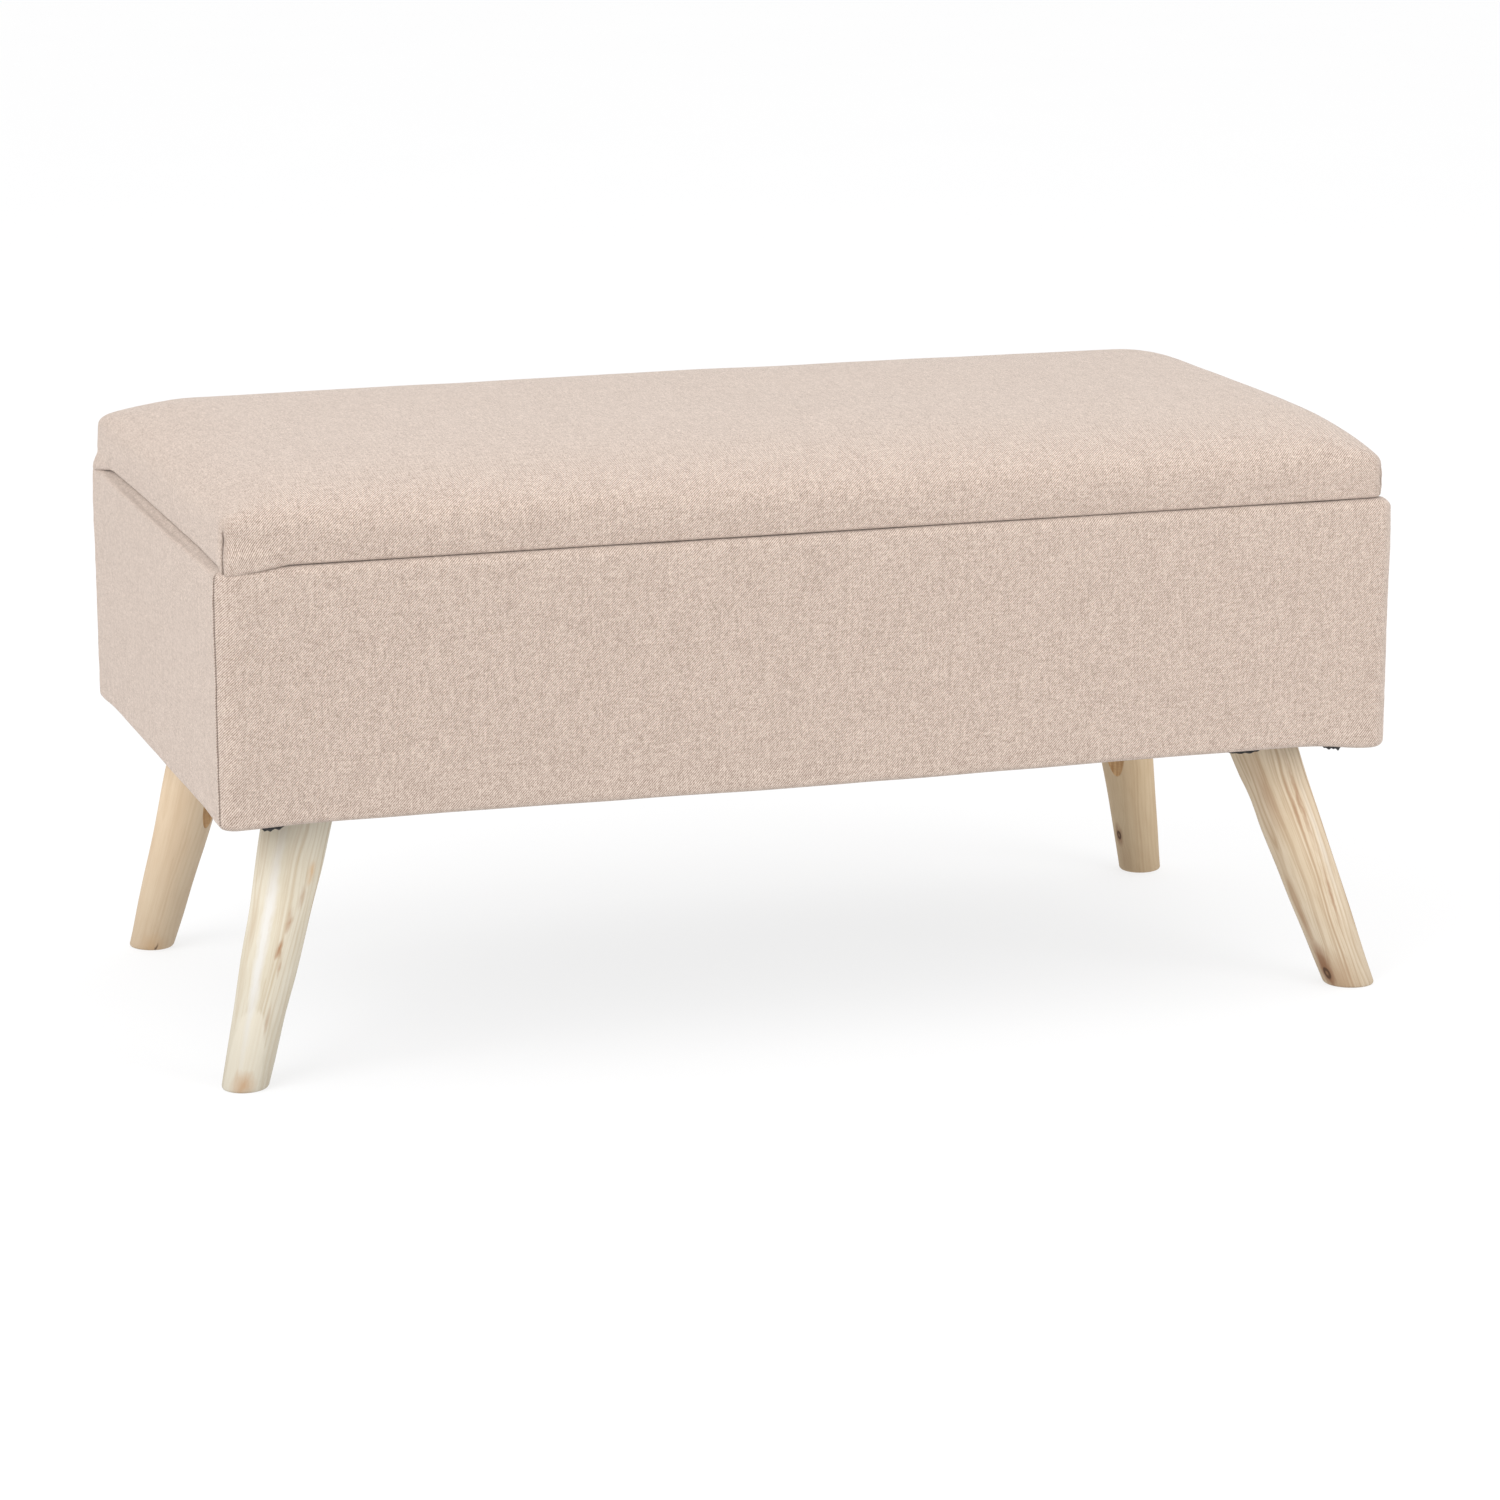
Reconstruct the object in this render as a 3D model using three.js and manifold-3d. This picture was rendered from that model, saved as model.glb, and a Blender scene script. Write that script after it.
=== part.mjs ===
// Upholstered storage bench: a padded box on four splayed legs, with a hinged cushion lid
// held open by two slotted stays. Millimetres, +Z up, +X along the bench, -Y to the front.
// The origin is on the floor, under the middle of the bench.
import * as THREE from "three";
import { mergeVertices } from "three/addons/utils/BufferGeometryUtils.js";
import Module from "manifold-3d";

const wasm = await Module();
wasm.setup();

// ---------------------------------------------------------------- driving dimensions
const LENGTH = 800; // over the box cover, along X
const DEPTH = 410; // over the box cover, along Y
const BOX_BOTTOM = 180;
const BOX_TOP = 346;
const SEAT_HEIGHT = 400;
const BOARD = 12; // every panel of the box and the lid
const PADDING = 5; // foam on the outside of the box
const COVER = 1.5; // upholstery cloth
const HEM_CLOTH = 1.2; // upholstery cloth where it is pulled flat and stapled
const LINING = 1;
const GAP = 0.3; // between pieces that touch
const BOX_CORNER = 10; // radius of the box cover's upright corners
const HEM_WIDTH = 25; // how far a cover is turned in under the box or the lid
const PAST = 1; // how far a cutting tool runs past the faces that it cuts
const WELD = 1e-4; // points closer than this are one point

// Sides of the small round pieces, and points of a rounded corner.
const FINE = 16;
const PLAIN = 12;
const SCREW_SIDES = 10;
const HOLE_SIDES = 8;
const CORNER_POINTS = 4;

const LEG = { footRadius: 16, topRadius: 23, topX: 334, topY: 130, sides: 28 };
const LEG_SPARE = 0.15; // share of a leg's length past each end, before the ends are cut level
const CUT_DEPTH = 100; // of the blocks that cut a leg's ends level
const FRONT_FOOT = { x: 388, y: 172 };
const BACK_FOOT = { x: 374, y: 172 };
const BOLT = { shank: 3.8, head: 7, headHeight: 6, seat: 148, pocket: 9, socket: 3.15, socketDepth: 3 };
const TEE_NUT = { barrel: 5.1, flange: 10, flangeHeight: 1.5, barrelBottom: 183.5 };

const LID_GAP = 2.7; // from the box's rim to the underside of the lid
const LID_LENGTH = 790;
const LID_FRONT = -202;
const LID_BACK = 195.5;
const LID_CORNER = 8;
const LID_EDGE = 369; // the top of the lid's upright sides, where the crown begins
const CROWN_RUN = { x: 58, y: 95 }; // how far in from each side the crown reaches its full height
const CROWN_CORNER = 50; // extra corner radius at the top of the crown
const CROWN_STEPS = 5;

const HINGE = { x: 260, length: 50, leaf: 0.9, barrel: 3.2, pin: 1.3, axisY: 200, axisZ: 349.5 };
const OUTER_KNUCKLE = 12; // each of the two knuckles of the box's leaf
const KNUCKLE_GAP = 0.4; // between a leaf's plate and the other leaf's knuckles
const PIN_SHORT = 0.5; // the pin ends this far inside its outer knuckles
const LID_LEAF_WIDTH = 24;
const HINGE_SCREW = { spacing: 32, head: 3, shank: 1.5, length: 13 };
const LID_SCREW_INSET = 13; // from the lid leaf's front edge, towards the barrel

const STAY_REACH = 75; // from the hinge axis to the stay's pivot and to its stud
const STAY_DROP = 12; // the stay's pivot is this far below the hinge axis
const STAY_REST_ANGLE = 20; // between pivot and stud, seen from the hinge axis, lid shut
const LID_OPENS = 95; // degrees
const STAY = { width: 14, thick: 2, slot: 3.4, pin: 2.6, fromWall: 3.3 };
const STAY_SLOT_SPARE = 1; // the slot is longer than the stud's travel by this at each end
const STAY_TIP = 3; // solid arm past the slot, before the arm's rounded end
const STUD = { radius: 2.8, head: 5.5, headHeight: 2, depth: 9, holeDepth: 10 };
const BRACKET = { web: 1.5, flange: 18, half: 16, screwInset: 11, rivet: 4.5, rivetHeight: 1 };
const BRACKET_SCREW = { spacing: 20, head: 3.4, headHeight: 1.6, shank: 1.6, length: 14 };
const SCREW_DOME = { radius: 2, height: 0.8 }; // the flat top of a bracket screw's rounded head
const PANEL_SCREW = { head: 4, headDepth: 3, shank: 2, length: 46, low: 215, high: 310 };

// ---------------------------------------------------------------- sizes that follow
const HALF_X = LENGTH / 2;
const HALF_Y = DEPTH / 2;
const BOARD_X = HALF_X - COVER - PADDING - 2 * GAP; // outer faces of the box's panels
const BOARD_Y = HALF_Y - COVER - PADDING - 2 * GAP;
const INSIDE_X = BOARD_X - BOARD; // inner faces of the box's panels
const INSIDE_Y = BOARD_Y - BOARD;
const BOARD_LOW = BOX_BOTTOM + HEM_CLOTH + GAP;
const BOARD_HIGH = BOX_TOP - COVER - GAP;
const FLOOR_TOP = BOARD_LOW + BOARD; // top of the bottom panel
const ROOM_X = INSIDE_X - GAP - LINING; // inner faces of the lining
const ROOM_Y = INSIDE_Y - GAP - LINING;
const LINING_FLOOR = FLOOR_TOP + TEE_NUT.flangeHeight + 2 * GAP;
const LID_LOW = BOX_TOP + LID_GAP;
const LID_BOARD_LOW = LID_LOW + HEM_CLOTH + GAP;
const LID_HALF_X = LID_LENGTH / 2;
const LID_HALF_Y = (LID_BACK - LID_FRONT) / 2;
const LID_CENTRE_Y = (LID_BACK + LID_FRONT) / 2;
const LEG_HEIGHT = BOX_BOTTOM - GAP;

// ---------------------------------------------------------------- materials
function material(name, color, roughness, metalness = 0) {
  return new THREE.MeshStandardMaterial({ name, color, roughness, metalness });
}
const CLOTH = material("cover_cloth", 0xd6c3b6, 0.95);
const DARK_CLOTH = material("dust_cloth", 0x2b2a2a, 0.95);
const LINING_CLOTH = material("lining_cloth", 0x4b4643, 0.95);
const FOAM = material("foam", 0xe8e2cf, 0.9);
const BOARD_WOOD = material("board", 0xc9a77c, 0.8);
const LEG_WOOD = material("leg_wood", 0xcfb48c, 0.6);
const STEEL = material("zinc_steel", 0xb9bcc0, 0.35, 1);

// ---------------------------------------------------------------- geometry helpers
function solidOf(geometry) {
  const bare = geometry.clone();
  bare.deleteAttribute("normal");
  bare.deleteAttribute("uv");
  const merged = mergeVertices(bare, WELD);
  return new wasm.Manifold(
    new wasm.Mesh({
      numProp: 3,
      vertProperties: merged.attributes.position.array,
      triVerts: new Uint32Array(merged.index.array),
    }),
  );
}

function geometryOf(solid) {
  const made = solid.getMesh();
  const geometry = new THREE.BufferGeometry();
  geometry.setAttribute("position", new THREE.BufferAttribute(made.vertProperties, 3));
  geometry.setIndex(new THREE.BufferAttribute(made.triVerts, 1));
  geometry.computeVertexNormals();
  return geometry;
}

function cut(geometry, tools) {
  let solid = solidOf(geometry);
  for (const tool of tools) {
    solid = solid.subtract(solidOf(tool));
  }
  return geometryOf(solid);
}

function join(geometries) {
  let solid = solidOf(geometries[0]);
  for (const other of geometries.slice(1)) {
    solid = solid.add(solidOf(other));
  }
  return geometryOf(solid);
}

// A block between two opposite corners.
function block(low, high) {
  const size = high.map((value, i) => value - low[i]);
  const middle = high.map((value, i) => (value + low[i]) / 2);
  return new THREE.BoxGeometry(...size).translate(...middle);
}

// A block that is centred on the Z axis.
function centredBlock(halfX, halfY, low, high) {
  return block([-halfX, -halfY, low], [halfX, halfY, high]);
}

// Upright cylinder from one height to another.
function post(x, y, radius, low, high, sides = PLAIN) {
  return new THREE.CylinderGeometry(radius, radius, high - low, sides)
    .rotateX(Math.PI / 2)
    .translate(x, y, (low + high) / 2);
}

// Two distances from the middle plane, on one side of it, as lower and higher X.
function spanOn(side, near, far) {
  return side > 0 ? [near, far] : [-far, -near];
}

// Cylinder along X.
function barAlongX(radius, low, high, y, z, sides = PLAIN) {
  return new THREE.CylinderGeometry(radius, radius, high - low, sides)
    .rotateZ(Math.PI / 2)
    .translate((low + high) / 2, y, z);
}

// A solid of revolution about Z from [radius, height] pairs.
function turned(profile, sides = PLAIN) {
  const points = profile.map(([radius, height]) => new THREE.Vector2(radius, height));
  return new THREE.LatheGeometry(points, sides).rotateX(Math.PI / 2);
}

function roundedOutline(halfX, halfY, radius) {
  const points = [];
  const corners = [
    [1, 1, 0],
    [-1, 1, 90],
    [-1, -1, 180],
    [1, -1, 270],
  ];
  for (const [sideX, sideY, start] of corners) {
    for (let i = 0; i <= CORNER_POINTS; i += 1) {
      const turn = THREE.MathUtils.degToRad(start + (90 * i) / CORNER_POINTS);
      const x = sideX * (halfX - radius) + radius * Math.cos(turn);
      const y = sideY * (halfY - radius) + radius * Math.sin(turn);
      points.push(new THREE.Vector2(x, y));
    }
  }
  return points;
}

function roundedBlock(halfX, halfY, radius, low, high) {
  const shape = new THREE.Shape(roundedOutline(halfX, halfY, radius));
  const settings = { depth: high - low, bevelEnabled: false };
  return new THREE.ExtrudeGeometry(shape, settings).translate(0, 0, low);
}

// A closed skin through outlines of equal point counts, each at its own height.
function loft(outlines, heights) {
  const count = outlines[0].length;
  const positions = [];
  outlines.forEach((outline, ring) => {
    outline.forEach((point) => positions.push(point.x, point.y, heights[ring]));
  });
  const index = [];
  for (let ring = 0; ring + 1 < outlines.length; ring += 1) {
    for (let i = 0; i < count; i += 1) {
      const next = (i + 1) % count;
      const a = ring * count + i;
      const b = ring * count + next;
      index.push(a, b, b + count, a, b + count, a + count);
    }
  }
  const top = outlines.length * count;
  positions.push(0, 0, heights[0], 0, 0, heights[heights.length - 1]);
  for (let i = 0; i < count; i += 1) {
    const next = (i + 1) % count;
    index.push(top, next, i);
    index.push(top + 1, top - count + i, top - count + next);
  }
  const geometry = new THREE.BufferGeometry();
  geometry.setAttribute("position", new THREE.Float32BufferAttribute(positions, 3));
  geometry.setIndex(index);
  geometry.computeVertexNormals();
  return geometry;
}

// The lid's cushion form, inset all round: upright sides, then a quarter-elliptic crown.
function crownedForm(inset, low) {
  const outlines = [];
  const heights = [];
  function ring(runX, runY, extraCorner, height) {
    const halfX = LID_HALF_X - inset - runX;
    const halfY = LID_HALF_Y - inset - runY;
    outlines.push(roundedOutline(halfX, halfY, LID_CORNER - inset + extraCorner));
    heights.push(height);
  }
  ring(0, 0, 0, low);
  for (let step = 0; step <= CROWN_STEPS; step += 1) {
    const turn = ((Math.PI / 2) * step) / CROWN_STEPS;
    const run = 1 - Math.cos(turn);
    const rise = (SEAT_HEIGHT - inset - LID_EDGE) * Math.sin(turn);
    ring(CROWN_RUN.x * run, CROWN_RUN.y * run, CROWN_CORNER * run, LID_EDGE + rise);
  }
  return loft(outlines, heights).translate(0, LID_CENTRE_Y, 0);
}

// ---------------------------------------------------------------- the scene graph
const bench = new THREE.Group();
const base = new THREE.Group();
const lid = new THREE.Group();
bench.add(base, lid);

function place(group, name, geometry, meshMaterial) {
  const mesh = new THREE.Mesh(geometry, meshMaterial);
  mesh.name = name;
  group.add(mesh);
  return mesh;
}

const CORNERS = [
  { name: "front_left", sideX: -1, sideY: -1, foot: FRONT_FOOT },
  { name: "front_right", sideX: 1, sideY: -1, foot: FRONT_FOOT },
  { name: "back_left", sideX: -1, sideY: 1, foot: BACK_FOOT },
  { name: "back_right", sideX: 1, sideY: 1, foot: BACK_FOOT },
];
const SIDES = [
  { name: "left", side: -1 },
  { name: "right", side: 1 },
];

// ---------------------------------------------------------------- where the hardware sits
function boltAt({ sideX, sideY }) {
  return [sideX * LEG.topX, sideY * LEG.topY];
}

function hingeScrewsAt(side) {
  return [-1, 1].map((end) => side * HINGE.x + (end * HINGE_SCREW.spacing) / 2);
}

const BOX_SCREW_Y = (INSIDE_Y + BOARD_Y) / 2;
const LID_LEAF_FRONT = HINGE.axisY - HINGE.barrel - LID_LEAF_WIDTH;
const LID_SCREW_Y = LID_LEAF_FRONT + LID_SCREW_INSET;
const HOLE = HINGE_SCREW.shank + GAP;

// The pivot on the lid's bracket and the stud on the side panel are equally far from the hinge
// axis, so the slotted arm between them turns by exactly half the lid's angle.
const PIVOT_FALL = Math.asin(STAY_DROP / STAY_REACH);
const STUD_FALL = PIVOT_FALL + THREE.MathUtils.degToRad(STAY_REST_ANGLE);
function stayPoint(fall) {
  return {
    y: HINGE.axisY - STAY_REACH * Math.cos(fall),
    z: HINGE.axisZ - STAY_REACH * Math.sin(fall),
  };
}
function spanAt(lidAngle) {
  const seen = THREE.MathUtils.degToRad(STAY_REST_ANGLE + lidAngle);
  return 2 * STAY_REACH * Math.sin(seen / 2);
}
const PIVOT = stayPoint(PIVOT_FALL);
const STUD_AT = stayPoint(STUD_FALL);
const ARM_X = ROOM_X - STAY.fromWall; // middle of the arm's thickness
const ARM_OUT = ARM_X + STAY.thick / 2;
const ARM_IN = ARM_X - STAY.thick / 2;
const BRACKET_X = ARM_IN - GAP - BRACKET.web; // inner face of the bracket's web
const BRACKET_SCREW_X = BRACKET_X - BRACKET.screwInset;

// ---------------------------------------------------------------- box
function frontOrBackPanel(sideY) {
  const inner = Math.min(sideY * INSIDE_Y, sideY * BOARD_Y);
  const panel = block([-BOARD_X, inner, BOARD_LOW], [BOARD_X, inner + BOARD, BOARD_HIGH]);
  const tools = [];
  for (const side of [-1, 1]) {
    for (const z of [PANEL_SCREW.low, PANEL_SCREW.high]) {
      tools.push(panelScrew(side, sideY, z, GAP));
    }
    if (sideY > 0) {
      for (const x of hingeScrewsAt(side)) {
        const tip = BOX_TOP - HINGE_SCREW.length - GAP;
        tools.push(post(x, BOX_SCREW_Y, HOLE, tip, BOARD_HIGH + PAST, HOLE_SIDES));
      }
    }
  }
  return cut(panel, tools);
}

// A sunk screw through the front or back panel into a side panel's edge, or, grown by a gap,
// the hole for it.
function panelScrew(side, sideY, z, grow = 0) {
  const { head, headDepth, shank, length } = PANEL_SCREW;
  const screw = turned(
    [
      [0, -length - grow],
      [shank + grow, -length - grow],
      [shank + grow, -headDepth - grow],
      [head + grow, -headDepth - grow],
      [head + grow, grow],
      [0, grow],
    ],
    SCREW_SIDES,
  );
  const x = side * (INSIDE_X + BOARD / 2);
  return screw.rotateX(-sideY * (Math.PI / 2)).translate(x, sideY * (BOARD_Y - GAP), z);
}

function sidePanel(side) {
  const low = Math.min(side * INSIDE_X, side * BOARD_X);
  const reach = INSIDE_Y - GAP;
  const panel = block([low, -reach, BOARD_LOW], [low + BOARD, reach, BOARD_HIGH]);
  const tools = [];
  for (const sideY of [-1, 1]) {
    for (const z of [PANEL_SCREW.low, PANEL_SCREW.high]) {
      tools.push(panelScrew(side, sideY, z, GAP));
    }
  }
  tools.push(studHole(side));
  return cut(panel, tools);
}

function studHole(side) {
  const [low, high] = spanOn(side, ROOM_X - PAST, INSIDE_X + STUD.holeDepth);
  return barAlongX(STUD.radius + GAP, low, high, STUD_AT.y, STUD_AT.z);
}

function bottomPanel() {
  const panel = centredBlock(INSIDE_X - GAP, INSIDE_Y - GAP, BOARD_LOW, FLOOR_TOP);
  const holes = CORNERS.map((corner) => {
    const [x, y] = boltAt(corner);
    return post(x, y, TEE_NUT.barrel + GAP, BOARD_LOW - PAST, FLOOR_TOP + PAST);
  });
  return cut(panel, holes);
}

function bodyPadding() {
  const foamX = HALF_X - COVER - GAP;
  const foamY = HALF_Y - COVER - GAP;
  const outside = roundedBlock(foamX, foamY, BOX_CORNER - COVER, BOARD_LOW, BOARD_HIGH);
  const reachX = BOARD_X + GAP;
  const reachY = BOARD_Y + GAP;
  return cut(outside, [centredBlock(reachX, reachY, BOARD_LOW - PAST, BOARD_HIGH + PAST)]);
}

// Cloth round all four sides, turned in over the rim and under the box.
function bodyCover() {
  const outside = roundedBlock(HALF_X, HALF_Y, BOX_CORNER, BOX_BOTTOM, BOX_TOP);
  const inX = HALF_X - COVER;
  const inY = HALF_Y - COVER;
  const hemTop = BOX_BOTTOM + HEM_CLOTH;
  const tools = [
    roundedBlock(inX, inY, BOX_CORNER - COVER, hemTop, BOX_TOP - COVER),
    centredBlock(ROOM_X, ROOM_Y, BOX_TOP - COVER - PAST, BOX_TOP + PAST),
    centredBlock(inX - HEM_WIDTH, inY - HEM_WIDTH, BOX_BOTTOM - PAST, hemTop + PAST),
  ];
  const holeLow = BOX_TOP - COVER - PAST;
  for (const side of [-1, 1]) {
    for (const x of hingeScrewsAt(side)) {
      tools.push(post(x, BOX_SCREW_Y, HOLE, holeLow, BOX_TOP + PAST, HOLE_SIDES));
    }
  }
  return cut(outside, tools);
}

function storageLining() {
  const outside = centredBlock(ROOM_X + LINING, ROOM_Y + LINING, LINING_FLOOR, BOARD_HIGH);
  const room = centredBlock(ROOM_X, ROOM_Y, LINING_FLOOR + LINING, BOARD_HIGH + PAST);
  return cut(outside, [room, studHole(-1), studHole(1)]);
}

function dustCloth() {
  const reachX = HALF_X - COVER - HEM_WIDTH - GAP;
  const reachY = HALF_Y - COVER - HEM_WIDTH - GAP;
  const sheet = centredBlock(reachX, reachY, BOX_BOTTOM, BOX_BOTTOM + HEM_CLOTH);
  const holes = CORNERS.map((corner) => {
    const [x, y] = boltAt(corner);
    return post(x, y, BOLT.shank + GAP, BOX_BOTTOM - PAST, BOX_BOTTOM + HEM_CLOTH + PAST);
  });
  return cut(sheet, holes);
}

place(base, "front_panel", frontOrBackPanel(-1), BOARD_WOOD);
place(base, "back_panel", frontOrBackPanel(1), BOARD_WOOD);
for (const { name, side } of SIDES) {
  place(base, `${name}_panel`, sidePanel(side), BOARD_WOOD);
}
place(base, "bottom_panel", bottomPanel(), BOARD_WOOD);
place(base, "body_padding", bodyPadding(), FOAM);
place(base, "body_cover", bodyCover(), CLOTH);
place(base, "storage_lining", storageLining(), LINING_CLOTH);
place(base, "dust_cloth", dustCloth(), DARK_CLOTH);

for (const { name, sideX, sideY } of CORNERS) {
  const screw = `${name}_panel_screw`;
  place(base, `${screw}_low`, panelScrew(sideX, sideY, PANEL_SCREW.low), STEEL);
  place(base, `${screw}_high`, panelScrew(sideX, sideY, PANEL_SCREW.high), STEEL);
}

// ---------------------------------------------------------------- legs and their fixings
// A tapered round leg between its foot and its top, cut level at both ends. A pocket is bored
// straight up from its inner side for the bolt that holds it.
function leg(corner) {
  const [topX, topY] = boltAt(corner);
  const top = new THREE.Vector3(topX, topY, LEG_HEIGHT);
  const foot = new THREE.Vector3(corner.sideX * corner.foot.x, corner.sideY * corner.foot.y, 0);
  const axis = top.clone().sub(foot);
  const taper = LEG.topRadius - LEG.footRadius;
  const wide = LEG.topRadius + taper * LEG_SPARE;
  const narrow = LEG.footRadius - taper * LEG_SPARE;
  const length = axis.length() * (1 + 2 * LEG_SPARE);
  const up = new THREE.Vector3(0, 1, 0);
  const lean = new THREE.Quaternion().setFromUnitVectors(up, axis.clone().normalize());
  const middle = top.clone().add(foot).multiplyScalar(0.5);
  const round = new THREE.CylinderGeometry(wide, narrow, length, LEG.sides)
    .applyQuaternion(lean)
    .translate(middle.x, middle.y, middle.z);
  const cutX = HALF_X + CUT_DEPTH;
  const cutY = HALF_Y + CUT_DEPTH;
  const above = centredBlock(cutX, cutY, LEG_HEIGHT, LEG_HEIGHT + CUT_DEPTH);
  const below = centredBlock(cutX, cutY, -CUT_DEPTH, 0);
  const pocket = post(topX, topY, BOLT.pocket, 0, BOLT.seat, FINE);
  const shaft = post(topX, topY, BOLT.shank + GAP, BOLT.seat - PAST, LEG_HEIGHT + PAST);
  return cut(round, [above, below, pocket, shaft]);
}

function legBolt(x, y) {
  const { head, headHeight, shank, seat, socket, socketDepth } = BOLT;
  const low = seat - GAP - headHeight;
  const tip = FLOOR_TOP + TEE_NUT.flangeHeight;
  return turned([
    [0, low + socketDepth],
    [socket, low + socketDepth],
    [socket, low],
    [head, low],
    [head, low + headHeight],
    [shank, low + headHeight],
    [shank, tip],
    [0, tip],
  ]).translate(x, y, 0);
}

function teeNut(x, y) {
  const bore = BOLT.shank + GAP;
  const { barrel, flange, flangeHeight, barrelBottom } = TEE_NUT;
  const seat = FLOOR_TOP + GAP;
  return turned([
    [bore, barrelBottom],
    [barrel, barrelBottom],
    [barrel, seat],
    [flange, seat],
    [flange, seat + flangeHeight],
    [bore, seat + flangeHeight],
    [bore, barrelBottom],
  ]).translate(x, y, 0);
}

for (const corner of CORNERS) {
  const [x, y] = boltAt(corner);
  place(base, `${corner.name}_leg`, leg(corner), LEG_WOOD);
  place(base, `${corner.name}_leg_bolt`, legBolt(x, y), STEEL);
  place(base, `${corner.name}_tee_nut`, teeNut(x, y), STEEL);
}

// ---------------------------------------------------------------- hinges
function knuckle(low, high) {
  return barAlongX(HINGE.barrel, low, high, HINGE.axisY, HINGE.axisZ, FINE);
}

// A leaf with its knuckles, screw holes and the bore for the pin.
function hingeLeaf(x, knuckles, plateLow, front, screwY) {
  const half = HINGE.length / 2;
  const plateHigh = plateLow + HINGE.leaf;
  const plateBack = HINGE.axisY - HINGE.barrel - KNUCKLE_GAP;
  const pieces = [block([x - half, front, plateLow], [x + half, plateBack, plateHigh])];
  for (const [low, high] of knuckles) {
    pieces.push(knuckle(x + low, x + high));
    pieces.push(block([x + low, plateBack - PAST, plateLow], [x + high, HINGE.axisY, plateHigh]));
  }
  const bore = HINGE.pin + GAP;
  const tools = [barAlongX(bore, x - half - PAST, x + half + PAST, HINGE.axisY, HINGE.axisZ)];
  for (const end of [-1, 1]) {
    const screwX = x + (end * HINGE_SCREW.spacing) / 2;
    tools.push(post(screwX, screwY, HINGE_SCREW.head + GAP, plateLow - PAST, plateHigh + PAST));
  }
  return cut(join(pieces), tools);
}

function hingeScrew(x, y, headFace, direction) {
  const { head, shank, length } = HINGE_SCREW;
  const screw = turned(
    [
      [0, -length],
      [shank, -length],
      [shank, -HINGE.leaf],
      [head, -HINGE.leaf],
      [head, 0],
      [0, 0],
    ],
    SCREW_SIDES,
  );
  return (direction > 0 ? screw.rotateX(Math.PI) : screw).translate(x, y, headFace);
}

const BOX_LEAF_LOW = BOX_TOP + GAP;
const LID_LEAF_LOW = LID_LOW - GAP - HINGE.leaf;
const HALF_HINGE = HINGE.length / 2;
const LID_KNUCKLE = HALF_HINGE - OUTER_KNUCKLE - GAP;
for (const { name, side } of SIDES) {
  const x = side * HINGE.x;
  const outer = [
    [-HALF_HINGE, OUTER_KNUCKLE - HALF_HINGE],
    [HALF_HINGE - OUTER_KNUCKLE, HALF_HINGE],
  ];
  const inner = [[-LID_KNUCKLE, LID_KNUCKLE]];
  const boxLeaf = hingeLeaf(x, outer, BOX_LEAF_LOW, INSIDE_Y + GAP, BOX_SCREW_Y);
  const lidLeaf = hingeLeaf(x, inner, LID_LEAF_LOW, LID_LEAF_FRONT, LID_SCREW_Y);
  const pinEnd = HALF_HINGE - PIN_SHORT;
  const pinAt = [HINGE.axisY, HINGE.axisZ];
  const pin = barAlongX(HINGE.pin, x - pinEnd, x + pinEnd, ...pinAt, HOLE_SIDES);
  place(base, `${name}_hinge_box_leaf`, boxLeaf, STEEL);
  place(lid, `${name}_hinge_lid_leaf`, lidLeaf, STEEL);
  place(base, `${name}_hinge_pin`, pin, STEEL);
  hingeScrewsAt(side).forEach((screwX, i) => {
    const boxScrew = hingeScrew(screwX, BOX_SCREW_Y, BOX_LEAF_LOW + HINGE.leaf, -1);
    const lidScrew = hingeScrew(screwX, LID_SCREW_Y, LID_LEAF_LOW, 1);
    place(base, `${name}_hinge_box_screw_${i + 1}`, boxScrew, STEEL);
    place(lid, `${name}_hinge_lid_screw_${i + 1}`, lidScrew, STEEL);
  });
}

// ---------------------------------------------------------------- lid
function lidScrewHoles(low, high) {
  const holes = [];
  for (const side of [-1, 1]) {
    for (const x of hingeScrewsAt(side)) {
      holes.push(post(x, LID_SCREW_Y, HOLE, low, high, HOLE_SIDES));
    }
  }
  return holes;
}

function bracketScrewsAt(side) {
  return [-1, 1].map((end) => ({
    x: side * BRACKET_SCREW_X,
    y: PIVOT.y + (end * BRACKET_SCREW.spacing) / 2,
  }));
}

function bracketScrewHoles(low, high) {
  const radius = BRACKET_SCREW.shank + GAP;
  return [-1, 1].flatMap((side) =>
    bracketScrewsAt(side).map(({ x, y }) => post(x, y, radius, low, high)),
  );
}

function lidBoard() {
  const inset = COVER + GAP;
  const corner = LID_CORNER - inset;
  const high = LID_BOARD_LOW + BOARD;
  const board = roundedBlock(LID_HALF_X - inset, LID_HALF_Y - inset, corner, LID_BOARD_LOW, high);
  board.translate(0, LID_CENTRE_Y, 0);
  const low = LID_BOARD_LOW - PAST;
  const leafTip = LID_LEAF_LOW + HINGE_SCREW.length + GAP;
  const bracketTip = LID_LOW - GAP - BRACKET.web - BRACKET_SCREW.headHeight + BRACKET_SCREW.length;
  return cut(board, [...lidScrewHoles(low, leafTip), ...bracketScrewHoles(low, bracketTip + GAP)]);
}

function lidCover() {
  const cavity = crownedForm(COVER, LID_LOW + HEM_CLOTH);
  const openX = LID_HALF_X - COVER - HEM_WIDTH;
  const openY = LID_HALF_Y - COVER - HEM_WIDTH;
  const mouth = centredBlock(openX, openY, LID_LOW - PAST, LID_LOW + HEM_CLOTH + PAST);
  mouth.translate(0, LID_CENTRE_Y, 0);
  const holes = lidScrewHoles(LID_LOW - PAST, LID_LOW + HEM_CLOTH + PAST);
  return cut(crownedForm(0, LID_LOW), [cavity, mouth, ...holes]);
}

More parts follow.
